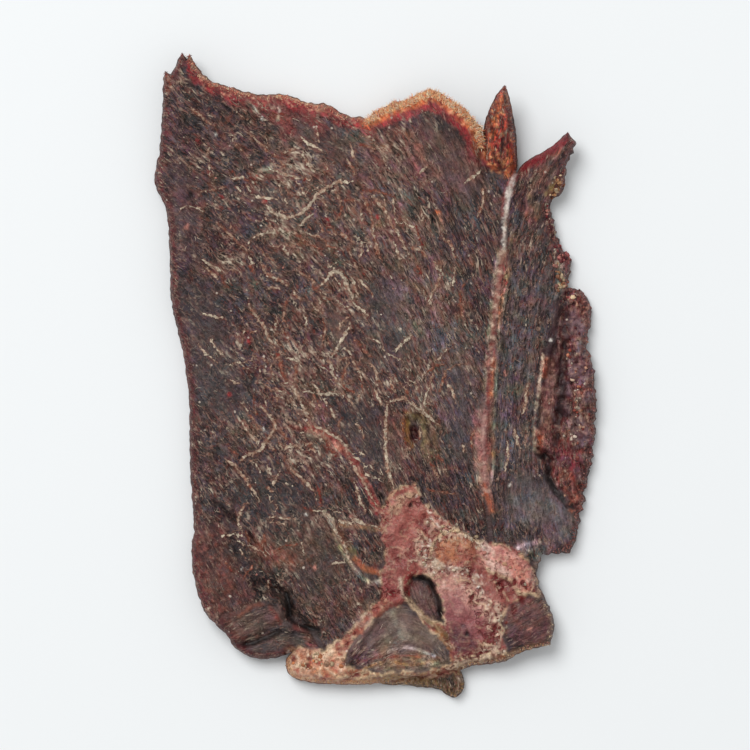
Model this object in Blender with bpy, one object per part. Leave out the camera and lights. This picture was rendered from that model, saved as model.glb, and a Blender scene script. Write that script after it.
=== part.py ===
"""Venison jerky: one flat slice of dried lean meat, with a web of fat at its lower edge.

Metres, +Z up. Seen from above, X runs to the right of the slice and Y to its top. The
origin lies under the middle of the slice's box, on the surface that the slice rests on.
"""

import bpy
import numpy as np
from mathutils import Vector, noise
from mathutils.geometry import delaunay_2d_cdt

# Driving sizes, in metres
SLICE_LENGTH = 0.117
LEAN_THICKNESS = 0.0044
THICKNESS_SWING = 0.0006
SHOULDER_WIDTH = 0.0034
RELIEF_SHOULDER = 0.0017
RIM_BULGE = 0.00035
UNDERSIDE_RISE = 0.0003
REST_SPOT_RADIUS = 0.012

# Widths of the broad swells, in metres, and what share of the underside they lift
UNDERSIDE_SWELL = 0.011
UNDERSIDE_SHARE = 1.8
THICKNESS_SWELL = 0.019

# The least thickness that a sunk mark leaves, as a share of the rim's
LEAST_THICKNESS = 0.6

# Which slice of the noise each surface reads, so that no two look alike
UNDERSIDE_NOISE = 3.1
THICKNESS_NOISE = 1.7
CRAG_NOISE = 5.9
GRAIN_NOISE = 7.3

# Mesh sizes, in metres
RIM_STEP = 0.0014
FINE_STEP = 0.00118
UNDERSIDE_STEP = 0.0028
DETAIL_REACH = 0.0016
RIM_CLEARANCE = 0.5
RIM_BLEND_REACH = 3

# Points are read from the photograph, in its pixels, and scaled by the slice's length
PHOTO_LENGTH = 317.0

# The outline, clockwise from the upper left corner. A run is one smooth curve, and where
# two runs meet there is a corner. Each run has the thickness of the rim along it.
OUTLINE = [
    ("corner step", 0.0020, [(255.5, 46), (258, 48), (260.5, 45), (264, 37)]),
    ("corner tooth", 0.0014, [(264, 37), (266, 41), (267.5, 37.5)]),
    ("top edge", 0.0013, [(267.5, 37.5), (270, 43), (276, 50), (285, 53.5), (300, 57.5),
                          (316, 58), (325, 61.5), (335, 62.5), (345, 68), (355, 69)]),
    ("fringed lobe", 0.0012, [(355, 69), (365, 63), (375, 60), (386, 56), (395, 60),
                              (404, 67), (410, 74), (412.5, 84)]),
    ("spike left", 0.0013, [(412.5, 84), (413.5, 71), (418, 60), (422.5, 53)]),
    ("spike right", 0.0013, [(422.5, 53), (425, 63), (427.3, 76), (428.5, 96)]),
    ("flap top", 0.0016, [(428.5, 96), (433, 91), (442, 86), (449, 81), (453.5, 76)]),
    ("flap side", 0.0020, [(453.5, 76), (456.3, 82), (452.5, 92), (451, 104), (445, 110),
                           (447, 123), (451, 134), (454, 138), (453, 152)]),
    ("torn flank", 0.0016, [(453, 152), (462, 156), (465, 167), (463, 176), (466, 195),
                            (467, 212), (465, 238), (462, 252), (459, 268), (455, 281),
                            (441, 284)]),
    ("flank foot", 0.0026, [(441, 284), (438, 292), (441, 304), (446, 316), (445, 328)]),
    ("web rim", 0.0030, [(445, 328), (435, 330), (420, 336.5), (405, 339), (401, 341)]),
    ("flake", 0.0012, [(401, 341), (402, 350), (398, 354), (391, 350.5), (378, 348.5),
                       (360, 347.5)]),
    ("blob rim", 0.0030, [(360, 347.5), (340, 347.5), (325, 346), (317, 343), (315.5, 336),
                          (318, 332)]),
    ("folded corner", 0.0026, [(318, 332), (311, 334), (302, 335), (291, 330), (286, 323),
                               (277, 314), (271, 299), (269, 285), (270, 272), (268.5, 252)]),
    ("left edge", 0.0024, [(268.5, 252), (268, 225), (267, 200), (264, 182), (259, 160),
                           (258, 135), (256, 113), (250.5, 99), (253, 86), (254.5, 68),
                           (255.5, 46)]),
]

# Lines that stand up or are sunk: height and half width in metres, then their points
LINES = [
    ("silverskin seam", 0.00045, 0.0010, [(428, 97), (422, 115), (421, 135), (418, 160),
                                          (415, 180), (414.5, 200), (412, 225), (411, 248),
                                          (414, 262)]),
    ("seam foot", 0.00040, 0.0020, [(413, 200), (411, 225), (411, 245)]),
    ("spike spine", 0.00040, 0.0012, [(422, 59), (420, 76), (421, 92)]),
    ("spike crease", -0.0011, 0.0008, [(412.5, 84), (411, 92), (415, 97)]),
    ("flap spine", 0.00040, 0.0016, [(452, 83), (444, 95), (438, 108)]),
    ("flank ridge", 0.00060, 0.0009, [(449, 156), (445, 180), (440, 198), (437.5, 216),
                                      (438, 232), (444, 248), (457, 262)]),
    ("red seam", 0.00035, 0.0008, [(310, 222), (325, 221), (338, 227), (346, 236),
                                   (353, 248), (361, 264)]),
    ("leaf loop", 0.00035, 0.0008, [(334, 262), (338, 268), (343, 281), (352, 294),
                                    (358, 298)]),
    ("long fold", -0.0013, 0.0011, [(302, 299), (314, 303), (318, 313), (328, 321)]),
    ("low fold", -0.0011, 0.0010, [(290, 330), (298, 326), (308, 322), (316, 314)]),
    ("fold crest", 0.0010, 0.0016, [(292, 313), (301, 309), (309, 309), (313, 318)]),
    ("corner crack", -0.0006, 0.0007, [(281, 261), (292, 268), (299, 279)]),
]

# Patches that stand up or are sunk: height and shoulder in metres, then their outline
PATCHES = [
    ("fat web", 0.0007, 0.0012, [(361, 262), (368, 252), (380, 249), (383, 258), (400, 271),
                                 (418, 279), (432, 283), (440, 300), (430, 306), (421, 310),
                                 (420, 328), (400, 338), (360, 346), (320, 345), (317, 335),
                                 (334, 332), (354, 312), (361, 296)]),
    ("web window", -0.0010, 0.0010, [(346, 339), (362, 312), (373, 307), (386, 318),
                                     (397, 333), (372, 340)]),
    ("pocket", -0.0019, 0.0009, [(373, 303), (377, 294), (385, 296), (390, 305), (391, 316),
                                 (380, 312)]),
    ("oval lobe", 0.0006, 0.0012, [(388, 282), (393, 274), (404, 275), (409, 284),
                                   (402, 291), (391, 290)]),
    ("crater", -0.0014, 0.0011, [(374, 217), (381, 214), (385, 222), (382, 231), (374, 228)]),
    ("torn flank", -0.0012, 0.0010, [(453, 150), (470, 152), (472, 262), (458, 262),
                                     (445, 247), (439.5, 232), (439.5, 216), (442, 198),
                                     (447, 180)]),
    ("flake step", -0.0022, 0.0008, [(362, 347), (384, 343), (401, 340), (408, 344),
                                     (404, 358), (362, 352)]),
]

# Places where the slice has curled up off the surface: height, reach, and the middle
CURL_POWER = 1.5
CURLS = [
    ("corner teeth", 0.0034, 0.030, (259, 42)),
    ("lobe", 0.0022, 0.020, (388, 58)),
    ("spike", 0.0046, 0.020, (421, 54)),
    ("flap", 0.0034, 0.022, (454, 78)),
    ("flank", 0.0014, 0.018, (468, 200)),
    ("web corner", 0.0024, 0.024, (447, 326)),
    ("folded corner", 0.0022, 0.022, (274, 318)),
    ("left edge", 0.0010, 0.018, (254, 140)),
]

# Crags: how high and wide they are on the patches whose surface is broken
CRAG_HEIGHT = 0.0005
CRAG_WIDTH = 0.0026
CRAGGY_PATCHES = ("fat web", "torn flank")

# Grain: long low swells that run along the muscle
GRAIN_HEIGHT = 0.00022
GRAIN_WIDTH = 0.0030
GRAIN_LENGTH = 0.0160
GRAIN_TILT_LEFT = -0.60
GRAIN_TILT_RIGHT = -1.45
GRAIN_TURN_WIDTH = 0.060

# Dried lean meat, as linear colour
MEAT_COLOUR = (0.114, 0.068, 0.059, 1.0)
MEAT_ROUGHNESS = 0.62


def smooth_run(points, step):
    """A smooth curve through the points, sampled about every step, without its end."""
    knots = np.array(points, dtype=float)
    gaps = np.linalg.norm(np.diff(knots, axis=0), axis=1)
    tangents = np.gradient(knots, np.concatenate(([0.0], np.cumsum(gaps))), axis=0)
    run = []
    for i, gap in enumerate(gaps):
        for t in np.linspace(0.0, 1.0, max(1, round(gap / step)), endpoint=False):
            run.append((2 * t**3 - 3 * t**2 + 1) * knots[i]
                       + (t**3 - 2 * t**2 + t) * gap * tangents[i]
                       + (3 * t**2 - 2 * t**3) * knots[i + 1]
                       + (t**3 - t**2) * gap * tangents[i + 1])
    return run


def outline_ring(pixel):
    """The outline in photograph pixels, with the rim's thickness at each of its points."""
    reach = range(-RIM_BLEND_REACH, RIM_BLEND_REACH + 1)
    ring = []
    rims = []
    for _, rim, points in OUTLINE:
        run = smooth_run(points, RIM_STEP / pixel)
        ring.extend(run)
        rims.extend([rim] * len(run))
    rims = np.array(rims)
    blend = sum(np.roll(rims, shift) for shift in reach) / len(reach)
    return np.array(ring), blend


def side_distance(points, starts, ends):
    """Distance from each point to the nearest of the sides, and which side that is."""
    along = ends - starts
    offset = points[:, None, :] - starts[None, :, :]
    share = (offset * along).sum(axis=2) / np.maximum((along**2).sum(axis=1), 1e-18)
    nearest = offset - np.clip(share, 0.0, 1.0)[:, :, None] * along
    distance = np.linalg.norm(nearest, axis=2)
    return distance.min(axis=1), distance.argmin(axis=1)


def ring_distance(points, ring):
    """Distance to a closed ring."""
    return side_distance(points, ring, np.roll(ring, -1, axis=0))


def is_inside(points, ring):
    """Which points the closed ring goes round, by counting its sides to their right."""
    a = ring[None, :, :]
    b = np.roll(ring, -1, axis=0)[None, :, :]
    x = points[:, None, 0]
    y = points[:, None, 1]
    spans = (a[:, :, 1] > y) != (b[:, :, 1] > y)
    rise = np.where(spans, b[:, :, 1] - a[:, :, 1], 1.0)
    crossing = a[:, :, 0] + (y - a[:, :, 1]) * (b[:, :, 0] - a[:, :, 0]) / rise
    return (np.sum(spans & (x < crossing), axis=1) % 2) == 1


def ease(share):
    """A smooth step from 0 to 1."""
    share = np.clip(share, 0.0, 1.0)
    return share * share * (3.0 - 2.0 * share)


def noise_at(points, width, seed):
    """Smooth noise of about -1 to 1, with swells of the given width."""
    return np.array([noise.noise(Vector((x / width, y / width, seed))) for x, y in points])


def line_height(points, line):
    """The height that one standing or sunk line gives each point."""
    _, height, half_width, knots = line
    distance, _ = side_distance(points, knots[:-1], knots[1:])
    return height * np.exp(-(distance / half_width) ** 2)


def patch_height(points, patch):
    """The height that one standing or sunk patch gives each point, with its crags."""
    name, height, shoulder, ring = patch
    distance, _ = ring_distance(points, ring)
    depth = np.where(is_inside(points, ring), distance, -distance)
    share = ease(0.5 + depth / shoulder)
    if name in CRAGGY_PATCHES:
        return share * (height + CRAG_HEIGHT * noise_at(points, CRAG_WIDTH, CRAG_NOISE))
    return share * height


def grain_height(points):
    """Long swells along the muscle, which turns from slanting at the left to upright."""
    lean = ease(0.5 + points[:, 0] / GRAIN_TURN_WIDTH)
    tilt = GRAIN_TILT_LEFT + (GRAIN_TILT_RIGHT - GRAIN_TILT_LEFT) * lean
    along = points[:, 0] * np.cos(tilt) + points[:, 1] * np.sin(tilt)
    across = points[:, 1] * np.cos(tilt) - points[:, 0] * np.sin(tilt)
    swell = np.stack((along / GRAIN_LENGTH, across / GRAIN_WIDTH), axis=1)
    return GRAIN_HEIGHT * noise_at(swell, 1.0, GRAIN_NOISE)


def curl_height(points, curls):
    """How far the slice has curled up off the surface at each point."""
    lift = np.zeros(len(points))
    for _, height, reach, middle in curls:
        distance = np.linalg.norm(points - middle, axis=1)
        lift += height * ease(1.0 - distance / reach) ** CURL_POWER
    return lift


def slice_heights(points, ring, rims, lines, patches, curls):
    """The heights of the underside and of the top at each point."""
    curl = curl_height(points, curls)
    distance, nearest = ring_distance(points, ring)
    inward = ease(distance / SHOULDER_WIDTH)
    off_rest = ease(np.linalg.norm(points, axis=1) / REST_SPOT_RADIUS - 1.0)
    swell = ease(UNDERSIDE_SHARE * noise_at(points, UNDERSIDE_SWELL, UNDERSIDE_NOISE))
    under = curl + UNDERSIDE_RISE * inward * off_rest * swell
    rim = rims[nearest]
    full = LEAN_THICKNESS + THICKNESS_SWING * noise_at(points, THICKNESS_SWELL, THICKNESS_NOISE)
    round_share = np.sqrt(1.0 - (1.0 - np.clip(distance / SHOULDER_WIDTH, 0.0, 1.0)) ** 2)
    top = curl + rim + (full - rim) * round_share
    relief = grain_height(points)
    for line in lines:
        relief = relief + line_height(points, line)
    for patch in patches:
        relief = relief + patch_height(points, patch)
    top = top + relief * ease(distance / RELIEF_SHOULDER)
    return under, np.maximum(top, under + LEAST_THICKNESS * rim)


def lattice(ring, step, marks, rough):
    """Points on a triangular lattice inside the ring.

    Of the fine lattice, every second point each way is kept, with every point that is near
    one of the marks or inside one of the rough patches. Without marks, all are kept.
    """
    low = ring.min(axis=0)
    high = ring.max(axis=0)
    row_gap = step * 0.75**0.5
    rows = int((high[1] - low[1]) / row_gap) + 1
    columns = int((high[0] - low[0]) / step) + 2
    points = []
    coarse = []
    for row in range(rows):
        for column in range(columns):
            points.append((low[0] + (column - 0.5 * (row % 2)) * step, low[1] + row * row_gap))
            coarse.append(row % 2 == 0 and (column + row // 2) % 2 == 0)
    points = np.array(points)
    keep = is_inside(points, ring) & (ring_distance(points, ring)[0] > RIM_CLEARANCE * step)
    if marks:
        near = np.array(coarse)
        for starts, ends in marks:
            near |= side_distance(points, starts, ends)[0] < DETAIL_REACH
        for patch in rough:
            near |= is_inside(points, patch)
        keep &= near
    return points[keep]


def cap_triangles(ring, inner):
    """Triangles that fill the ring through the inner points, turned to face up."""
    coordinates = [Vector(p) for p in np.concatenate((ring, inner))]
    result = delaunay_2d_cdt(coordinates, [], [list(range(len(ring)))], 1, 1e-9)
    order = [origin[0] for origin in result[3]]
    triangles = []
    for face in result[2]:
        a, b, c = (order[corner] for corner in face)
        turn = (coordinates[b] - coordinates[a]).cross(coordinates[c] - coordinates[a])
        triangles.append((a, b, c) if turn > 0 else (a, c, b))
    return triangles


def outward_offset(ring, reach):
    """The ring moved outward by reach, except where it would meet another of its sides."""
    along = np.roll(ring, -1, axis=0) - np.roll(ring, 1, axis=0)
    along /= np.linalg.norm(along, axis=1)[:, None]
    moved = ring + reach * np.stack((along[:, 1], -along[:, 0]), axis=1)
    if is_inside(moved, ring).mean() > 0.5:
        moved = 2.0 * ring - moved
    clear = (ring_distance(moved, ring)[0] > 0.85 * reach) & ~is_inside(moved, ring)
    return np.where(clear[:, None], moved, ring)


def build_slice():
    """The slice as one closed mesh: a top, an underside and a rim with a bulge between."""
    knots = np.array([p for _, _, points in OUTLINE for p in points], dtype=float)
    pixel = SLICE_LENGTH / PHOTO_LENGTH
    ring_pixels, rims = outline_ring(pixel)
    middle = (knots.min(axis=0) + knots.max(axis=0)) / 2.0

    def place(points):
        return (np.array(points, dtype=float) - middle) * (pixel, -pixel)

    ring = place(ring_pixels)
    lines = [(name, height, width, place(points)) for name, height, width, points in LINES]
    patches = [(name, height, edge, place(points)) for name, height, edge, points in PATCHES]
    curls = [(name, height, reach, place(point)) for name, height, reach, point in CURLS]
    marks = [(knots[:-1], knots[1:]) for _, _, _, knots in lines]
    marks += [(knots, np.roll(knots, -1, axis=0)) for _, _, _, knots in patches]
    rough = [knots for name, _, _, knots in patches if name in CRAGGY_PATCHES]

    upper = lattice(ring, FINE_STEP, marks, rough)
    lower = lattice(ring, UNDERSIDE_STEP, [], [])
    belly = outward_offset(ring, RIM_BULGE)
    shape = (ring, rims, lines, patches, curls)

    rim_under, rim_top = slice_heights(ring, *shape)
    upper_top = slice_heights(upper, *shape)[1]
    lower_under = slice_heights(lower, *shape)[0]

    count = len(ring)
    vertices = [(x, y, z) for (x, y), z in zip(ring, rim_top)]
    vertices += [(x, y, z) for (x, y), z in zip(upper, upper_top)]
    first_belly = len(vertices)
    vertices += [(x, y, z) for (x, y), z in zip(belly, (rim_top + rim_under) / 2.0)]
    first_under = len(vertices)
    vertices += [(x, y, z) for (x, y), z in zip(ring, rim_under)]
    vertices += [(x, y, z) for (x, y), z in zip(lower, lower_under)]

    faces = cap_triangles(ring, upper)
    faces += [(first_under + a, first_under + c, first_under + b)
              for a, b, c in cap_triangles(ring, lower)]
    for i in range(count):
        j = (i + 1) % count
        faces.append((i, j, first_belly + j, first_belly + i))
        faces.append((first_belly + i, first_belly + j, first_under + j, first_under + i))

    corners = np.array(vertices)
    box_middle = (corners.min(axis=0) + corners.max(axis=0)) / 2.0
    corners -= (box_middle[0], box_middle[1], corners[:, 2].min())
    mesh = bpy.data.meshes.new("jerky_slice")
    mesh.from_pydata(corners.tolist(), [], faces)
    mesh.validate()
    return mesh


def meat_material():
    """Dried lean meat."""
    material = bpy.data.materials.new("dried_meat")
    material.use_nodes = True
    shader = material.node_tree.nodes["Principled BSDF"]
    shader.inputs["Base Color"].default_value = MEAT_COLOUR
    shader.inputs["Roughness"].default_value = MEAT_ROUGHNESS
    shader.inputs["Metallic"].default_value = 0.0
    return material


def main():
    for old in list(bpy.data.objects):
        bpy.data.objects.remove(old, do_unlink=True)
    mesh = build_slice()
    mesh.materials.append(meat_material())
    mesh.shade_smooth()
    mesh.set_sharp_from_angle(angle=1.1)
    jerky = bpy.data.objects.new("jerky_slice", mesh)
    bpy.context.scene.collection.objects.link(jerky)


main()
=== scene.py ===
"""The looks of the venison jerky: a slice of dried lean meat seen from straight above.

Lengths are millimetres in the slice's own plane, X to the right and Y to its top, until a
mesh is made, which is in metres. Points and widths named as the photograph's are in its
own pixels.
"""

import math

import bmesh
import bpy
import numpy as np
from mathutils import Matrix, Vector, noise
from mathutils.geometry import delaunay_2d_cdt
from mathutils.kdtree import KDTree


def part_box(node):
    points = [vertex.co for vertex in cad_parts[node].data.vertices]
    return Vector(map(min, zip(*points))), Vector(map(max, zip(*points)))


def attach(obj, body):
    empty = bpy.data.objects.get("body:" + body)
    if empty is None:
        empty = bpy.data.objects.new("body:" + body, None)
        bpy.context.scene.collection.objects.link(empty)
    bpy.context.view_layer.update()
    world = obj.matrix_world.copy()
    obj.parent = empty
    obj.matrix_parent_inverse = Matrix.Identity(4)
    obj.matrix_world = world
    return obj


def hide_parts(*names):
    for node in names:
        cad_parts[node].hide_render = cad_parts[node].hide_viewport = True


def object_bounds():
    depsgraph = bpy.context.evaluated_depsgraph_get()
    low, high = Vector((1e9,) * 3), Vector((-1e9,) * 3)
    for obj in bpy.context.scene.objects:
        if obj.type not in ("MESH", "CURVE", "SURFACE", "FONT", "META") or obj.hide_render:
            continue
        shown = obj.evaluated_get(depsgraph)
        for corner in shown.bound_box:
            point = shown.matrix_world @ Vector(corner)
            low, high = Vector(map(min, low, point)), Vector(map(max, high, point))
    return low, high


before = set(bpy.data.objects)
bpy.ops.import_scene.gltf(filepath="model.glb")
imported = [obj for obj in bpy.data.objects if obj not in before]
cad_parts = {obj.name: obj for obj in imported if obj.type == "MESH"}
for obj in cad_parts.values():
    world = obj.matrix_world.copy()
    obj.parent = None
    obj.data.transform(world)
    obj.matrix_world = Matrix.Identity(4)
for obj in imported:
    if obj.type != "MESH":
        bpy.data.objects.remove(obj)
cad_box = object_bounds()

METRE = 0.001

# The slice, in millimetres, as in the solid
LEAN_THICKNESS = 4.4
THICKNESS_SWING = 0.6
THICKNESS_SWELL = 19.0
SHOULDER_WIDTH = 3.4
RELIEF_SHOULDER = 1.7
RIM_BULGE = 0.35
UNDERSIDE_RISE = 0.3
UNDERSIDE_SWELL = 11.0
UNDERSIDE_SHARE = 1.8
REST_SPOT_RADIUS = 12.0
LEAST_THICKNESS = 0.6

# Mesh sizes, in millimetres
RIM_STEP = 0.30
TOP_STEP = 0.33
UNDERSIDE_STEP = 0.95
RIM_CLEARANCE = 0.55
WALL_RINGS = 5
CEILING_FADE = 0.4
SOFT_CEILING = 0.5
WALL_STRIPS = 4
CORNER_REACH = 1.6
DETAIL_SHOULDER = 0.9
THINNEST = 0.45

# Points are read from the photograph, in its pixels
PHOTO_LENGTH = 317.0

# The outline, clockwise from the upper left corner. A run is one smooth curve, and where
# two runs meet there is a corner. Each run has the thickness of the rim along it, and how
# ragged the rim is.
OUTLINE = [
    ("corner step", 2.0, 0.14, [(255.5, 46), (258, 48), (260.5, 45), (264, 37)]),
    ("corner tooth", 1.4, 0.14, [(264, 37), (266, 41), (267.5, 37.5)]),
    ("top edge", 1.3, 0.24, [(267.5, 37.5), (270, 43), (276, 50), (285, 53.5), (300, 57.5), (316, 58),
        (325, 61.5), (335, 62.5), (345, 68), (355, 69)]),
    ("fringed lobe", 1.2, 0.32, [(355, 69), (365, 63), (375, 60), (386, 56), (395, 60), (404, 67),
        (410, 74), (412.5, 84)]),
    ("spike left", 1.3, 0.10, [(412.5, 84), (413.5, 71), (418, 60), (422.5, 53)]),
    ("spike right", 1.3, 0.06, [(422.5, 53), (425, 63), (427.3, 76), (428.5, 96)]),
    ("flap top", 1.6, 0.08, [(428.5, 96), (433, 91), (442, 86), (449, 81), (453.5, 76)]),
    ("flap side", 2.0, 0.42, [(453.5, 76), (456.3, 82), (452.5, 92), (451, 104), (445, 110), (447, 123),
        (451, 134), (454, 138), (453, 152)]),
    ("torn flank", 1.6, 0.50, [(453, 152), (462, 156), (465, 167), (463, 176), (466, 195), (467, 212),
        (465, 238), (462, 252), (459, 268), (455, 281), (441, 284)]),
    ("flank foot", 2.6, 0.28, [(441, 284), (438, 292), (441, 304), (446, 316), (445, 328)]),
    ("web rim", 3.0, 0.20, [(445, 328), (435, 330), (420, 336.5), (405, 339), (401, 341)]),
    ("flake", 1.2, 0.14, [(401, 341), (402, 350), (398, 354), (391, 350.5), (378, 348.5), (360, 347.5)]),
    ("blob rim", 3.0, 0.14, [(360, 347.5), (340, 347.5), (325, 346), (317, 343), (315.5, 336),
        (318, 332)]),
    ("folded corner", 2.6, 0.18, [(318, 332), (311, 334), (302, 335), (291, 330), (286, 323), (277, 314),
        (271, 299), (269, 285), (270, 272), (268.5, 252)]),
    ("left edge", 2.4, 0.15, [(268.5, 252), (268, 225), (267, 200), (264, 182), (259, 160), (258, 135),
        (256, 113), (250.5, 99), (253, 86), (254.5, 68), (255.5, 46)]),
]
RUN_NAMES = [run[0] for run in OUTLINE]

# Lines that stand up or are sunk: height and half width in millimetres, then their points
LINES = [
    ("silverskin seam", 0.45, 1.0, [(428, 97), (422, 115), (421, 135), (418, 160), (415, 180),
        (414.5, 200), (412, 225), (411, 248), (414, 262)]),
    ("seam foot", 0.40, 2.0, [(413, 200), (411, 225), (411, 245)]),
    ("spike spine", 0.40, 1.2, [(422, 59), (420, 76), (421, 92)]),
    ("spike crease", -1.1, 0.8, [(412.5, 84), (411, 92), (415, 97)]),
    ("flap spine", 0.40, 1.6, [(452, 83), (444, 95), (438, 108)]),
    ("flank ridge", 0.60, 0.9, [(449, 156), (445, 180), (440, 198), (437.5, 216), (438, 232), (444, 248),
        (457, 262)]),
    ("red seam", 0.35, 0.8, [(310, 222), (325, 221), (338, 227), (346, 236), (353, 248), (361, 264)]),
    ("leaf loop", 0.35, 0.8, [(334, 262), (338, 268), (343, 281), (352, 294), (358, 298)]),
    ("long fold", -1.3, 1.1, [(302, 299), (314, 303), (318, 313), (328, 321)]),
    ("low fold", -1.1, 1.0, [(290, 330), (298, 326), (308, 322), (316, 314)]),
    ("fold crest", 1.0, 1.6, [(292, 313), (301, 309), (309, 309), (313, 318)]),
    ("corner crack", -0.6, 0.7, [(281, 261), (292, 268), (299, 279)]),
]

# Patches that stand up or are sunk: height and shoulder in millimetres, then the outline
PATCHES = {
    "fat web": (0.7, 1.2, [(361, 262), (368, 252), (380, 249), (383, 258), (400, 271), (418, 279),
        (432, 283), (440, 300), (430, 306), (421, 310), (420, 328), (400, 338), (360, 346), (320, 345),
        (317, 335), (334, 332), (354, 312), (361, 296)]),
    "web window": (-1.0, 1.0, [(346, 339), (362, 312), (373, 307), (386, 318), (397, 333), (372, 340)]),
    "pocket": (-1.9, 0.9, [(373, 303), (377, 294), (385, 296), (390, 305), (391, 316), (380, 312)]),
    "oval lobe": (0.6, 1.2, [(388, 282), (393, 274), (404, 275), (409, 284), (402, 291), (391, 290)]),
    "crater": (-1.4, 1.1, [(374, 217), (381, 214), (385, 222), (382, 231), (374, 228)]),
    "torn flank": (-1.2, 1.0, [(453, 150), (470, 152), (472, 262), (458, 262), (445, 247), (439.5, 232),
        (439.5, 216), (442, 198), (447, 180)]),
    "flake step": (-2.2, 0.8, [(362, 347), (384, 343), (401, 340), (408, 344), (404, 358), (362, 352)]),
}
CRAG_HEIGHT = 0.5
CRAG_WIDTH = 2.6
CRAGGY_PATCHES = ("fat web", "torn flank")

# The edge of the fat itself, and the meat that shows inside it
FAT_EDGE = [(361, 262), (366, 255), (369, 251), (379, 249), (382, 258), (392, 265), (400, 271),
            (410, 277), (424, 279), (432, 283), (438, 294), (440, 303), (434, 306), (424, 309),
            (421, 316), (421, 324), (424, 332), (446, 326), (448, 332), (420, 342), (398, 343),
            (360, 350), (318, 349), (312, 336), (322, 329), (334, 331), (344, 323), (354, 312),
            (361, 304), (361, 293), (364, 286), (362, 274)]
FAT_GAPS = {
    "window": [(343, 338), (347, 328), (355, 318.5), (364, 311.5), (370, 308.5), (375, 308), (380, 314),
        (387, 322), (395, 331), (396, 337), (384, 341), (362, 342)],
    "pocket": [(374, 304), (377, 295), (382, 293), (388, 297), (391, 306), (393, 318), (384, 314)],
}

# Places where the slice has curled up off the surface: height, reach, and the middle
CURL_POWER = 1.5
CURLS = [
    ("corner teeth", 3.4, 30.0, (259, 42)),
    ("lobe", 2.2, 20.0, (388, 58)),
    ("spike", 4.6, 20.0, (421, 54)),
    ("flap", 3.4, 22.0, (454, 78)),
    ("flank", 1.4, 18.0, (468, 200)),
    ("web corner", 2.4, 24.0, (447, 326)),
    ("folded corner", 2.2, 22.0, (274, 318)),
    ("left edge", 1.0, 18.0, (254, 140)),
]

# Long low swells along the muscle
GRAIN_HEIGHT = 0.22
GRAIN_WIDTH = 3.0
GRAIN_LENGTH = 16.0
GRAIN_TILT_LEFT = -0.60
GRAIN_TILT_RIGHT = -1.45
GRAIN_TURN_WIDTH = 60.0

# Which slice of the noise each broad surface reads
UNDERSIDE_NOISE = 3.1
THICKNESS_NOISE = 1.7
CRAG_NOISE = 5.9
GRAIN_NOISE = 7.3

# The muscles. Each has its edge, how freely its fibres bend, and the run of its fibres: at
# some places, how many degrees they fall to the right. The first takes what is left over.
MUSCLES = [
    ("slab", 5, [], [((270, 60), 42), ((280, 90), 37), ((300, 130), 41), ((340, 100), 44),
        ((320, 70), 36), ((365, 75), 50), ((385, 80), 62), ((400, 110), 66), ((410, 150), 76),
        ((360, 150), 57), ((320, 170), 47), ((290, 190), 50), ((270, 150), 45), ((350, 200), 60),
        ((395, 200), 70), ((380, 240), 66), ((330, 230), 52), ((290, 240), 48), ((320, 280), 52),
        ((280, 290), 58), ((345, 290), 56), ((398, 310), 74), ((400, 283), 70)]),
    ("right strip", 4, [(429, 90), (422, 115), (421, 135), (418, 160), (415, 190), (412, 225), (413, 250),
        (416, 280), (440, 290), (480, 290), (480, 60), (440, 70)], [((452, 82), 125), ((445, 95), 118),
        ((436, 108), 106), ((434, 130), 97), ((432, 180), 93), ((428, 230), 90), ((442, 262), 76),
        ((456, 200), 96), ((425, 270), 84)]),
    ("spike", 2, [(412, 90), (420, 97), (428.5, 92), (432, 50), (408, 50)], [((421, 60), 82),
        ((420, 75), 92), ((421, 90), 98)]),
    ("fold", 2, [(284, 314), (293, 312), (302, 308), (310, 309), (314, 318), (328, 322), (334, 331),
        (318, 350), (280, 340)], [((295, 318), -24), ((305, 314), -18), ((300, 328), -28),
        ((318, 327), 24)]),
    ("window", 3, FAT_GAPS["window"], [((374, 314), 10), ((355, 330), -56), ((364, 318), -44),
        ((384, 324), 48), ((392, 334), 52), ((368, 338), -10)]),
    ("purple patch", 2, [(424, 309), (434, 304), (446, 303), (448, 328), (424, 332), (421, 322)],
        [((432, 312), -34), ((436, 322), -24)]),
]
MUSCLE_GAP = 37.0
GRAIN_BLEND = 6.0
SPREAD_WEIGHT = 0.3
FIBRE_SAMPLES = 3000
MUSCLE_NAMES = [muscle[0] for muscle in MUSCLES]

# The right strip: where it begins, and the two places between which it grows smooth
RIGHT_STRIP_LEFT = (418, 200)
RIGHT_STRIP_FADE = [(430, 130), (430, 150)]

# Colours, as they look in the photograph
LEAN = (76, 60, 60)
BROWN_LEAN = (92, 75, 70)
GREY_LEAN = (78, 69, 71)
PURPLE_LEAN = (78, 57, 63)
RED_LEAN = (88, 50, 44)
CREAM = (212, 192, 168)
WHITE = (232, 224, 214)
TAN = (150, 120, 104)
DARK_RED = (96, 24, 28)
CRIMSON = (132, 24, 36)
BRICK = (150, 66, 54)
ORANGE = (180, 98, 52)
GOLD = (200, 148, 94)
STRAW = (224, 194, 156)
PINK = (150, 78, 70)
MAUVE = (124, 60, 58)
PALE_PINK = (190, 126, 112)
PEACH = (206, 156, 124)
FAT_RED = (108, 34, 38)
OLIVE = (128, 104, 62)
BLACK = (20, 13, 13)

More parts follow.
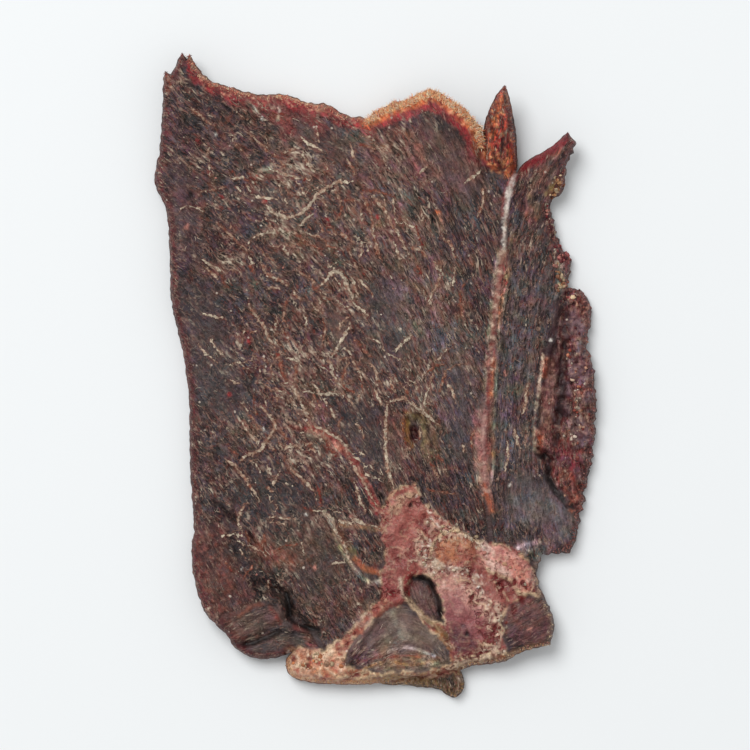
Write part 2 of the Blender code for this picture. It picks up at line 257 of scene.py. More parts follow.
# Bands along the rim: the runs, the colour, how far in from the edge they start and stop in
# millimetres, and how strongly they cover
RIM_BANDS = [
    (("left edge", "folded corner"), DARK_RED, 0.0, 1.0, 0.7),
    (("corner step", "corner tooth"), DARK_RED, 0.0, 1.1, 0.6),
    (("top edge",), (148, 40, 44), 0.3, 1.9, 0.85),
    (("top edge",), (196, 130, 92), 0.0, 0.4, 0.6),
    (("fringed lobe",), (168, 44, 50), 1.5, 3.2, 0.85),
    # the orange and golden bands are partly the lobe's own colour and partly painted light that shines
    # through its thin edge
    (("fringed lobe",), (214, 112, 62), 0.7, 1.9, 0.9),
    (("fringed lobe",), (240, 172, 108), 0.0, 0.9, 0.9),
    (("spike left", "spike right"), DARK_RED, 0.0, 0.6, 0.75),
    (("flap top",), CRIMSON, 0.0, 1.4, 0.85),
    (("flap side",), DARK_RED, 0.0, 0.9, 0.7),
    (("torn flank",), DARK_RED, 0.0, 0.6, 0.3),
    (("flank foot",), TAN, 0.0, 0.6, 0.5),
    # painted shade: brown along the web rim's edge, to look like its shadowed underside
    (("web rim",), (112, 74, 50), 0.0, 0.9, 0.75),
    (("flake",), OLIVE, 0.0, 1.6, 0.7),
    (("blob rim",), (214, 156, 104), 0.0, 0.6, 0.6),
]

# Strokes of colour on the top: half width and softness in pixels, how strongly they cover,
# how far they stand up in millimetres, and their points
STROKES = [
    ("brown middle", BROWN_LEAN, 20, 16, 0.7, 0.0, [(335, 110), (368, 140), (385, 185)]),
    ("grey left", GREY_LEAN, 14, 12, 0.6, 0.0, [(285, 85), (312, 130), (298, 150)]),
    ("purple left", PURPLE_LEAN, 6, 8, 0.7, 0.0, [(261, 60), (263, 100), (268, 140)]),
    ("purple middle", PURPLE_LEAN, 10, 8, 0.6, 0.0, [(296, 178), (306, 212), (316, 236)]),
    ("grey centre", (108, 94, 94), 11, 9, 0.8, 0.0, [(372, 160), (392, 180), (400, 215)]),
    ("warm centre", (124, 98, 92), 13, 10, 0.75, 0.0, [(362, 112), (378, 140), (384, 165)]),
    ("warm lobe", (130, 92, 84), 12, 8, 0.85, 0.0, [(366, 84), (384, 88), (396, 96)]),
    ("purple lobe", PURPLE_LEAN, 5, 6, 0.5, 0.0, [(388, 82), (396, 92), (400, 104)]),
    ("warm top", (98, 74, 68), 9, 8, 0.6, 0.0, [(304, 84), (325, 84), (346, 88)]),
    ("lower grey", (58, 49, 50), 12, 9, 0.8, 0.0, [(296, 250), (316, 264), (330, 284), (334, 300)]),
    ("dark patch ring", (60, 54, 56), 4, 5, 0.65, 0.0, [(303, 108), (313, 110)]),
    ("dark patch left", (64, 58, 60), 9, 8, 0.65, 0.0, [(272, 160), (278, 184), (285, 206)]),
    ("dark patch loop", (56, 51, 56), 3, 4, 0.65, 0.0, [(340, 167), (343, 180)]),
    ("dark patch middle", (66, 59, 61), 7, 6, 0.6, 0.0, [(362, 156), (368, 182)]),
    ("dark patch low", (60, 54, 57), 8, 7, 0.65, 0.0, [(350, 216), (361, 238)]),
    ("dark patch foot", (50, 44, 47), 13, 9, 0.75, 0.0, [(302, 252), (316, 268), (328, 286)]),
    ("dark patch right", (70, 62, 66), 6, 6, 0.55, 0.0, [(398, 196), (402, 232)]),
    ("warm nest", (122, 96, 74), 6, 6, 0.6, 0.0, [(312, 128), (326, 134)]),
    ("grey right", (90, 80, 82), 8, 7, 0.8, 0.0, [(432, 150), (428, 200), (428, 240)]),
    ("smooth grey", (108, 95, 97), 8, 7, 0.9, 0.0, [(430, 262), (446, 262), (452, 272)]),
    ("reddish corner", (96, 50, 42), 11, 7, 0.8, 0.0, [(278, 280), (281, 294), (288, 305)]),
    ("reddish foot", (104, 66, 58), 9, 9, 0.6, 0.0, [(338, 310), (344, 304)]),
    ("lower brown", (88, 70, 62), 12, 10, 0.6, 0.0, [(330, 275), (322, 300), (338, 300)]),
    ("red top", (150, 60, 52), 2.6, 4, 0.7, 0.0, [(288, 60), (300, 64), (312, 70), (316, 76)]),
    ("red top right", (150, 60, 52), 2.6, 4, 0.7, 0.0, [(312, 65), (325, 68), (332, 74)]),
    ("red top left", CRIMSON, 1.2, 1.4, 0.8, 0.0, [(272, 49), (280, 56), (290, 61)]),
    ("top pink", (186, 118, 104), 1.4, 1.4, 0.7, 0.1, [(284, 56), (294, 59), (302, 65)]),
    ("top strand", CREAM, 0.6, 0.8, 0.75, 0.1, [(287, 55), (295, 60), (302, 67)]),
    ("top strand right", CREAM, 0.6, 0.8, 0.75, 0.1, [(309, 60), (312, 65), (311, 70)]),
    ("red top drip", BRICK, 2, 3, 0.5, 0.0, [(315, 72), (322, 80)]),
    ("red top end", BRICK, 2, 2, 0.8, 0.0, [(336, 67), (345, 71), (354, 73)]),
    ("top hem", STRAW, 0.8, 0.8, 0.85, 0.1, [(311, 58.5), (320, 60), (330, 64), (340, 68)]),
    ("corner orange", ORANGE, 1.4, 1.6, 0.8, 0.0, [(257, 49), (257, 55)]),
    ("corner streak", CREAM, 0.6, 0.7, 0.7, 0.05, [(263, 46), (264, 53)]),
    ("tooth red", CRIMSON, 1.2, 1.0, 0.8, 0.0, [(267, 42), (269, 46), (271, 49)]),
    ("island red", BRICK, 1.4, 1.6, 0.65, 0.0, [(300, 99), (306, 98), (312, 99)]),
    ("island cream", CREAM, 1.0, 0.8, 0.85, 0.12, [(301, 95.5), (304, 94.5), (308, 95)]),
    ("orange dots", ORANGE, 1.2, 1.5, 0.6, 0.05, [(389, 116), (391, 122)]),
    ("tan dot", TAN, 1.3, 1.3, 0.8, 0.08, [(390, 118), (392, 124)]),
    ("brown nest", (124, 92, 80), 7, 6, 0.55, 0.0, [(336, 160), (338, 174)]),
    ("brown trail", (128, 92, 78), 4, 4, 0.55, 0.0, [(318, 196), (326, 208), (330, 216)]),
    ("red seam", (164, 74, 60), 1.7, 1.2, 0.9, 0.1, [(326, 222), (334, 224), (342, 231), (350, 241),
        (356, 252), (360, 262)]),
    ("red seam left", BRICK, 0.9, 0.9, 0.7, 0.05, [(311, 222), (318, 221.5), (326, 222)]),
    ("red seam pink", (200, 148, 128), 1.3, 1.6, 0.65, 0.1, [(324, 223.5), (333, 226.5), (341, 232)]),
    ("red wedge", (128, 18, 28), 1.6, 1.0, 0.95, -0.3, [(355, 252), (358, 258), (360, 263)]),
    ("dark triangle", (50, 46, 42), 3, 2, 0.7, 0.0, [(361, 246), (366, 250)]),
    ("seam skin left", (160, 92, 88), 0.7, 0.8, 0.75, 0.0, [(425.6, 98), (422.4, 107), (421, 118)]),
    ("seam skin", (228, 216, 204), 1.1, 0.7, 0.95, 0.12, [(428, 96), (424.8, 105), (423.4, 114)]),
    ("seam skin low", (222, 206, 190), 0.7, 0.8, 0.9, 0.1, [(423.4, 114), (422.6, 124), (422.2, 134)]),
    ("seam pink top", (172, 130, 114), 2.4, 1.6, 0.8, 0.0, [(421, 136), (419.5, 150), (418, 165)]),
    ("seam red", (156, 96, 82), 1.6, 1.6, 0.8, 0.0, [(422, 138), (420, 150), (418, 165), (416.5, 180),
        (415.5, 200), (416, 225), (414, 250), (416, 262)]),
    ("seam orange", (178, 96, 54), 1.0, 1.0, 0.6, 0.0, [(417.5, 188), (416, 200), (415.5, 206)]),
    ("seam orange top", (196, 118, 72), 0.8, 1.0, 0.6, 0.05, [(424.5, 144), (421, 158), (419.5, 172)]),
    ("seam pink", (184, 130, 122), 2.7, 2.4, 0.9, 0.1, [(411.2, 214), (410, 224), (410.6, 236),
        (412.4, 248)]),
    ("seam wine top", (128, 26, 30), 0.8, 0.7, 0.8, -0.1, [(422.5, 142), (420.5, 150)]),
    ("seam wine", (126, 34, 34), 0.6, 0.8, 0.7, -0.05, [(413.8, 186), (414.2, 198), (414.6, 212)]),
    ("seam wine low", (132, 48, 46), 0.7, 1.0, 0.6, 0.0, [(414.6, 214), (413.8, 228), (413, 240)]),
    ("seam hook", (172, 100, 66), 0.9, 0.9, 0.6, 0.1, [(412, 254), (414, 257), (416, 262)]),
    ("seam ember", (190, 92, 52), 0.9, 1.0, 0.7, 0.1, [(412.4, 249), (413.2, 254), (414.6, 258)]),
    ("seam left skin", CREAM, 0.5, 1.4, 0.55, 0.1, [(420, 138), (417, 152), (415.5, 168), (413.5, 188),
        (412.5, 203)]),
    ("seam foot skin", CREAM, 0.5, 1.2, 0.4, 0.05, [(407.5, 226), (408.8, 238), (410.5, 249)]),
    ("seam right skin", CREAM, 0.4, 1.0, 0.40, 0.08, [(424.5, 140), (422.5, 158), (420, 172),
        (418.5, 190), (418, 210), (417, 222), (417, 240), (415, 252)]),
    ("crater brown", (116, 80, 66), 5, 4, 0.6, 0.0, [(368, 218), (369, 238)]),
    ("crater ring", OLIVE, 3.5, 3, 0.5, 0.0, [(378, 213), (387, 222), (386, 234)]),
    ("crater orange", ORANGE, 1.4, 1.4, 0.7, 0.05, [(374, 214), (373, 222), (376, 230)]),
    # painted shade: black and near-black in the crater's hole and along its deep side
    ("crater hole", (58, 8, 12), 1.8, 1.0, 1.0, -0.6, [(378, 222), (378.4, 227)]),
    ("crater dark", BLACK, 0.9, 1.0, 0.95, -0.3, [(380, 218), (383, 220), (386, 226), (387, 231)]),
    ("crater web", (190, 164, 118), 0.6, 1.0, 0.7, 0.15, [(375, 215), (380, 216), (383, 223),
        (382, 230)]),
    ("crater hem", GOLD, 0.7, 0.8, 0.8, 0.15, [(375, 218), (374.5, 225), (377, 231)]),
    ("spike body", (204, 78, 60), 6, 2, 0.95, 0.0, [(421, 58), (420, 74), (420, 88)]),
    ("spike orange", (214, 128, 76), 1.4, 1.6, 0.6, 0.05, [(420, 60), (417, 70), (416, 80)]),
    # partly the spike's own dark red and partly painted shade down its right side, which is turned from
    # the light
    ("spike dark", (96, 24, 26), 1.4, 1.4, 0.8, -0.05, [(422.5, 54), (425, 66), (426, 76), (426, 84)]),
    ("spike blood", CRIMSON, 1.4, 1.2, 0.6, 0.0, [(422, 80), (424, 88), (418, 84)]),
    ("spike foot", (196, 92, 40), 2.0, 1.5, 0.9, 0.15, [(426, 86), (427, 92), (424, 97)]),
    ("spike foot gold", GOLD, 1.0, 1.0, 0.7, 0.1, [(417, 88), (421, 91), (424, 89)]),
    ("spike foot left", (170, 92, 52), 1.2, 1.2, 0.7, 0.05, [(413, 86), (416, 92), (420, 96)]),
    ("window tone", (124, 102, 92), 15, 5, 0.85, 0.0, [(362, 322), (370, 330), (378, 330)]),
    ("window olive", (150, 124, 84), 3, 4, 0.5, 0.0, [(366, 337), (380, 335), (390, 336)]),
    ("window mauve", (112, 74, 76), 4, 4, 0.7, 0.0, [(350, 334), (359, 321)]),
    ("window pale", (158, 150, 134), 1.2, 1.8, 0.55, 0.0, [(367, 312), (369, 318), (372, 324)]),
    ("window red", (146, 58, 48), 0.5, 0.8, 0.7, 0.0, [(350, 337), (360, 334.5), (370, 334), (379, 333)]),
    ("window gold", (198, 150, 98), 0.5, 0.8, 0.7, 0.1, [(354, 339.5), (364, 336.5), (376, 338),
        (389, 336)]),
    ("window rust", (168, 84, 54), 0.5, 0.7, 0.6, 0.0, [(378, 335), (385, 333.5), (391, 335)]),
    ("window streaks", (232, 216, 194), 0.5, 0.7, 0.75, 0.1, [(365, 332), (374, 329.5), (381, 331),
        (388, 334)]),
    ("window streaks low", (222, 196, 160), 0.5, 0.7, 0.7, 0.1, [(362, 338), (372, 335), (381, 336.5),
        (391, 338)]),
    ("purple patch", (124, 76, 74), 9, 4, 0.8, 0.0, [(431, 314), (435, 320)]),
    ("purple patch dark", (84, 50, 56), 3, 3, 0.6, 0.0, [(428, 322), (436, 325), (442, 318)]),
    ("pocket meat", (132, 94, 90), 5, 2, 0.9, 0.0, [(380, 302), (386, 311)]),
    ("pocket shade", BLACK, 1.5, 1.0, 1.0, -0.3, [(377, 295.5), (382, 295), (386.5, 298), (389, 304),
        (390.5, 311), (392, 316)]),
    ("pocket red", (128, 30, 34), 1.6, 1.2, 0.9, 0.1, [(375.5, 297), (375, 303)]),
    ("upper left warmth", (92, 44, 44), 20, 22, 0.16, 0.0, [(276, 78), (280, 104), (284, 134)]),
    ("left shade", (52, 34, 34), 2.5, 4, 0.55, 0.0, [(255, 60), (257, 113), (260, 150), (266, 190),
        (269, 230), (270, 270)]),
    ("flap red", (146, 22, 34), 1.8, 1.4, 0.9, 0.1, [(431, 94), (438, 89), (446, 84), (451, 79)]),
    # painted shade: the dark on the flap's tip, whose right half is turned down
    ("flap tip", (66, 30, 34), 2.4, 1.6, 0.85, 0.0, [(453, 78), (455, 83), (453, 88)]),
    ("flap brown", (142, 98, 88), 3.4, 3, 0.8, 0.0, [(447, 90), (440, 102), (435, 116)]),
    # painted shade in the crease of the flap
    ("flap crease", (40, 22, 24), 0.9, 1.0, 0.75, -0.2, [(451, 86), (445, 96), (439, 104), (436, 112)]),
    ("flap streak", (146, 118, 92), 0.8, 1.0, 0.6, 0.1, [(450, 84), (444, 92), (437, 100), (434, 108)]),
    ("flap scab", GOLD, 1.6, 1.6, 0.85, 0.25, [(449, 100), (446, 104), (444, 108)]),
    ("flap scab pink", PALE_PINK, 1.0, 0.8, 0.85, 0.2, [(443, 109), (444, 114)]),
    # painted shade in the sunk line along the flap's side
    ("flap side dark", (44, 20, 22), 1.6, 1.2, 0.85, -0.25, [(442, 112), (444, 120), (447, 128),
        (450, 132)]),
    ("flap side pink", (158, 84, 86), 2.2, 1.6, 0.85, 0.3, [(450, 135), (447, 133)]),
    ("flap side cream", CREAM, 1.8, 1.8, 0.7, 0.25, [(450, 141), (451, 147), (450, 152)]),
    ("ridge brown", (146, 96, 86), 3.0, 2, 0.85, 0.1, [(445, 190), (444, 204), (442.5, 218), (441, 230)]),
    ("ridge orange", (176, 82, 54), 1.0, 1.2, 0.8, 0.1, [(443, 188), (442, 196)]),
    ("ridge orange low", (176, 82, 54), 1.2, 1.2, 0.8, 0.1, [(439.5, 224), (440, 233)]),
    ("ridge skin", (224, 190, 166), 0.5, 0.8, 0.85, 0.15, [(441.5, 186), (440.2, 195), (438.8, 206)]),
    ("ridge skin low", (206, 176, 156), 0.4, 0.7, 0.75, 0.12, [(438.4, 209), (437, 218), (437.2, 233)]),
    ("ridge top shade", (52, 22, 28), 1.4, 1.8, 0.9, -0.3, [(450, 158), (447.5, 170), (445, 178),
        (443, 184)]),
    ("flank shade", (62, 26, 34), 2.4, 2.4, 0.85, -0.2, [(446, 182), (449, 192), (451.5, 203),
        (451, 214)]),
    ("flank lump top", (126, 96, 106), 4.2, 3, 0.85, 0.3, [(456, 168), (459, 173)]),
    ("flank lump middle", (122, 92, 100), 3.6, 3, 0.8, 0.3, [(458.5, 191), (460.5, 195)]),
    ("flank lump low", (116, 88, 96), 4.0, 3, 0.8, 0.3, [(459, 220), (461.5, 226)]),
    ("flank red", (128, 34, 46), 4.4, 3, 0.75, 0.15, [(450, 233), (456, 238)]),
    ("flank foot", (146, 60, 46), 3.6, 3, 0.65, 0.1, [(449, 243), (455, 250), (458, 260)]),
    ("flank foot shade", (50, 14, 20), 1.2, 1.6, 0.85, -0.3, [(461.5, 244), (462, 256)]),
    ("film", (150, 132, 132), 3.0, 2.0, 0.75, 0.25, [(430, 282), (437, 280), (443, 281)]),
    ("film blob", (206, 182, 174), 1.4, 1.2, 0.8, 0.2, [(438, 286.5), (441, 284.5)]),
    ("film streak", (196, 172, 166), 0.6, 1.0, 0.75, 0.15, [(427, 282), (433, 278.5), (440, 278)]),
    ("fold shade", (36, 28, 24), 2.6, 3.0, 0.85, 0.0, [(304, 297), (312, 303), (318, 311), (326, 319)]),
    ("fold grey", (116, 90, 82), 4.5, 2.2, 0.85, 0.1, [(291, 320), (300, 317), (308, 314)]),
    ("fold side", (96, 48, 40), 2.0, 1.8, 0.7, 0.0, [(286, 317), (289, 323), (294, 326)]),
    ("low flap", (88, 74, 68), 4.0, 2.5, 0.8, 0.0, [(302, 330), (312, 327), (319, 329)]),
    ("low flap red", (120, 60, 52), 1.8, 1.8, 0.7, 0.0, [(320, 319), (325, 324), (328, 328)]),
    ("fold crest red", (140, 76, 54), 0.8, 1.4, 0.7, 0.15, [(292, 314), (298, 309.3), (304, 308.2)]),
    ("fold crest low", (128, 62, 50), 0.7, 1.2, 0.7, 0.1, [(307, 309), (310, 313.5), (312, 318)]),
    # painted shade: the black and near-black strokes from here to the mid crack sit in the creases of the
    # folds and in the cracks
    ("fold dark", BLACK, 1.0, 0.8, 1.0, -0.4, [(315, 303.5), (317, 309), (316.5, 314)]),
    ("fold dark end", BLACK, 0.8, 0.8, 1.0, -0.3, [(317, 316), (323, 319.5), (331, 321)]),
    ("fold dark top", BLACK, 1.3, 1.6, 0.9, -0.3, [(294, 292), (299, 298), (303, 305), (309, 308)]),
    ("fold dark side", BLACK, 1.4, 2.0, 0.85, -0.2, [(305, 294), (309, 298), (311, 302)]),
    ("low fold dark", BLACK, 1.0, 0.8, 1.0, -0.5, [(288, 329.5), (297, 328), (304, 325.5), (311, 322)]),
    ("low fold foot", (44, 18, 18), 1.2, 1.2, 0.85, -0.2, [(286, 325), (289, 330)]),
    ("corner crack", BLACK, 0.8, 0.9, 0.95, -0.3, [(279, 257.5), (284.5, 261.5), (290, 267)]),
    ("corner crack low", BLACK, 1.2, 1.2, 0.95, -0.3, [(297, 274), (300, 278.5)]),
    ("corner crack left", BLACK, 1.4, 2.4, 0.85, -0.2, [(287, 275), (290, 284)]),
    ("mid crack", BLACK, 1.0, 1.0, 0.9, -0.3, [(306, 291), (310, 296), (313, 302)]),
    ("brown nest low", (96, 74, 58), 8, 7, 0.6, 0.0, [(306, 284), (320, 282), (330, 276)]),
    ("speckled nest", (156, 80, 62), 3.0, 4, 0.55, 0.05, [(302, 279), (309, 283), (316, 287)]),
    ("loop tan", (176, 130, 94), 1.1, 1.1, 0.8, 0.1, [(342, 268.5), (352, 270), (361, 271.5)]),
    ("loop orange", (178, 96, 58), 1.5, 1.2, 0.85, 0.1, [(349, 286), (355, 291), (361, 293)]),
    ("loop brown", (122, 92, 60), 2.0, 1.6, 0.8, 0.0, [(341, 273), (348, 283)]),
    ("loop hem", CREAM, 0.9, 0.8, 0.9, 0.2, [(334, 262.5), (337, 268), (341, 278), (347, 289), (352, 295),
        (357, 298), (361, 297)]),
    # painted shade in the sunk crease along the flank ridge, and black painted shadow in the notch below
    # it
    ("ridge dark", (38, 18, 20), 1.6, 1.6, 0.9, -0.45, [(453, 165), (451.5, 190), (450, 215),
        (447.5, 230)]),
    ("notch", BLACK, 1.6, 1.2, 0.95, -0.7, [(439, 233), (445, 237.5), (444, 245), (449, 254), (457, 262),
        (464, 266)]),
    ("groove shade", (34, 28, 31), 3.0, 3.0, 0.85, -0.3, [(286, 266), (290, 276), (296, 287),
        (303, 300)]),
]

# The same on the fat, which is pink where no stroke covers it
FAT_STROKES = [
    ("upper fat", (168, 94, 84), 7, 5, 0.7, 0.1, [(372, 256), (374, 268), (370, 280)]),
    ("upper cream", STRAW, 2.0, 2.0, 0.6, 0.15, [(368, 262), (372, 257), (378, 253)]),
    ("upper hem", (190, 160, 120), 0.9, 0.8, 0.8, 0.1, [(362, 260), (367, 254), (369, 251), (379, 249)]),
    ("upper red", BRICK, 1.6, 1.4, 0.7, 0.0, [(372, 252), (379, 251), (381, 254)]),
    ("mauve leg", (148, 80, 74), 4, 4, 0.7, 0.0, [(366, 274), (369, 286), (366, 298)]),
    ("crimson leg", (140, 50, 56), 2.2, 2, 0.6, 0.0, [(361, 296), (367, 302), (362, 308)]),
    ("left leg", (182, 112, 88), 4, 2.5, 0.85, 0.1, [(361, 308), (350, 320), (342, 332)]),
    ("leg red", (150, 60, 54), 1.4, 1.2, 0.8, -0.1, [(362, 308), (354, 317), (347, 325), (343, 334)]),
    ("leg hem", CREAM, 1.1, 1.0, 0.9, 0.25, [(360, 304), (354, 312), (345, 321), (336, 329)]),
    ("blob", (222, 166, 134), 8, 3, 0.95, 0.35, [(323, 339), (332, 336), (340, 338)]),
    ("blob light", (236, 204, 172), 2.2, 2, 0.8, 0.2, [(319, 341), (328, 334), (336, 331)]),
    ("blob orange", (206, 128, 84), 2.2, 2.2, 0.7, 0.0, [(322, 334), (328, 340), (338, 342)]),
    ("knots", (226, 196, 172), 2.4, 2.2, 0.75, 0.3, [(386, 268), (394, 271), (400, 273)]),
    ("knots left", (220, 190, 166), 2.2, 2.0, 0.7, 0.25, [(381, 279), (383, 287), (388, 292)]),
    ("salmon back", (176, 100, 84), 3, 3, 0.6, 0.1, [(385, 263), (391, 267), (396, 271)]),
    ("oval", (186, 116, 80), 5.4, 2.6, 0.9, 0.15, [(393, 284), (403, 281)]),
    ("oval blend", (158, 88, 76), 3.4, 3, 0.85, 0.0, [(403, 286), (409, 292), (415, 299), (420, 306)]),
    ("oval shade", (118, 56, 46), 0.9, 1.0, 0.7, -0.1, [(407, 276), (410, 283), (408, 289)]),
    ("oval blush", (160, 88, 76), 3, 3, 0.8, 0.0, [(401, 280), (406, 285)]),
    ("oval light", (206, 142, 104), 1.6, 2, 0.7, 0.1, [(390, 279), (396, 277.5), (401, 277)]),
    ("oval hem", STRAW, 1.1, 0.9, 0.9, 0.25, [(387, 285), (387, 280), (391, 274.5), (398, 271),
        (405, 275), (411, 281)]),
    ("oval foot", CREAM, 1.5, 1.1, 0.9, 0.3, [(387, 286), (393, 291), (401, 291), (407, 293),
        (411, 299)]),
    ("mauve band", (150, 80, 74), 2.6, 2.0, 0.7, -0.1, [(408, 290), (412, 297), (416, 303), (420, 308)]),
    ("right lobe", (222, 154, 140), 6, 3, 0.9, 0.4, [(416, 285), (425, 289), (432, 295)]),
    ("right lobe cream", (236, 206, 190), 1.6, 2.0, 0.7, 0.2, [(413, 284), (417, 289), (423, 293)]),
    ("right lobe rust", (196, 112, 92), 2.4, 2.2, 0.7, 0.0, [(427, 288), (431, 294), (433, 300)]),
    ("right lobe hem", STRAW, 0.9, 0.8, 0.85, 0.2, [(414, 291), (420, 294), (426, 297), (430, 303),
        (438, 303)]),
    ("lobe knob", (226, 200, 186), 1.8, 1.4, 0.9, 0.35, [(411, 278), (414, 281)]),
    ("trunk", (212, 156, 142), 7, 3, 0.9, 0.2, [(394, 298), (400, 303), (407, 308)]),
    ("trunk mauve", (150, 88, 90), 7, 4, 0.9, 0.1, [(396, 310), (402, 316), (408, 318)]),
    ("trunk purple", (88, 46, 54), 5, 4, 0.95, 0.0, [(400, 323), (404, 329), (407, 333)]),
    ("trunk red", (128, 48, 50), 2.5, 2.4, 0.7, 0.0, [(403, 335), (411, 332)]),
    ("trunk side", (184, 140, 124), 2.6, 2, 0.8, 0.15, [(411, 304), (415, 312), (419, 320)]),
    ("trunk cream", (216, 190, 166), 1.6, 1.4, 0.7, 0.2, [(419, 309), (421, 318), (419, 327),
        (414, 334)]),
    ("pocket wall", (140, 40, 40), 1.8, 1.2, 0.85, -0.1, [(378, 293), (374, 297), (374, 303)]),
    ("pocket hem", CREAM, 0.8, 0.8, 0.85, 0.2, [(371, 296), (373, 304), (378, 309), (382, 314),
        (387, 319)]),
    ("olive band", OLIVE, 1.8, 1.6, 0.8, 0.0, [(384, 314), (391, 321), (395, 330)]),
    ("orange foot", (176, 106, 56), 2.2, 2, 0.7, 0.1, [(389, 324), (394, 334), (388, 342)]),
    ("lower brown", (140, 84, 52), 2.2, 1.6, 0.75, 0.0, [(398, 341), (410, 338), (422, 334.5),
        (436, 330)]),
    ("lower hem", (244, 216, 186), 0.9, 1.2, 0.9, 0.3, [(398, 338.5), (409, 335.5), (420, 332),
        (434, 329), (445, 324.5)]),
    ("foot rust", (160, 86, 50), 2.4, 1.6, 0.8, 0.0, [(346, 341), (360, 342), (374, 340.5),
        (388, 338.5)]),
    ("foot hem", (240, 206, 164), 0.7, 1.2, 0.85, 0.25, [(341, 343.5), (350, 344.5), (360, 343.5),
        (371, 341), (384, 338.5), (396, 339)]),
    ("foot hem low", (206, 158, 104), 0.6, 1.0, 0.7, 0.15, [(346, 346.5), (358, 346), (370, 344),
        (384, 342)]),
]

# Small dots: the colour, the radius in pixels, how deep in millimetres, and where they are
DOTS = [
    # painted shade: the dark nicks and black holes are dark where they sink
    ("dark nick", BLACK, 1.2, 0.25, [(350, 102.5), (352, 104), (268, 107), (387, 119)]),
    ("white fat", WHITE, 0.8, -0.08, [(293, 291), (325, 264), (309, 299), (316, 332), (280.5, 77),
        (303, 69), (409.5, 300), (445.5, 178.5), (322, 164), (324, 166), (425, 250), (304, 222)]),
    ("pink fat", PALE_PINK, 1.1, -0.1, [(304, 110.5), (316, 124), (331, 152), (329, 290), (314, 285),
        (347, 265), (423, 195), (266, 123), (414, 190), (435, 320)]),
    ("black hole", BLACK, 1.3, 0.5, [(396.5, 267), (404.5, 270.3), (362, 255.5), (360, 282),
        (376.5, 259.5), (404, 322.5), (298, 276), (309, 300)]),
    # painted shade in the crater's hole
    ("crater hole", (52, 6, 10), 2.1, 0.5, [(378, 224.5)]),
    ("red hole", (110, 14, 20), 1.7, 0.5, [(418, 295), (420, 299.5), (427.5, 297.5), (432, 298.5),
        (430.5, 305.5), (427, 311), (417.5, 320), (410, 331), (367.5, 303), (406, 291.5), (406.5, 305)]),
    ("blob hole", (120, 40, 34), 1.5, 0.4, [(318.5, 335), (327, 334.5), (326, 339)]),
    ("red dot", (140, 40, 40), 1.2, 0.0, [(305, 110), (283.5, 108), (336, 122), (335, 119), (324, 222),
        (272, 81), (349.5, 238), (297, 179), (287, 205), (423, 150), (360, 118)]),
]

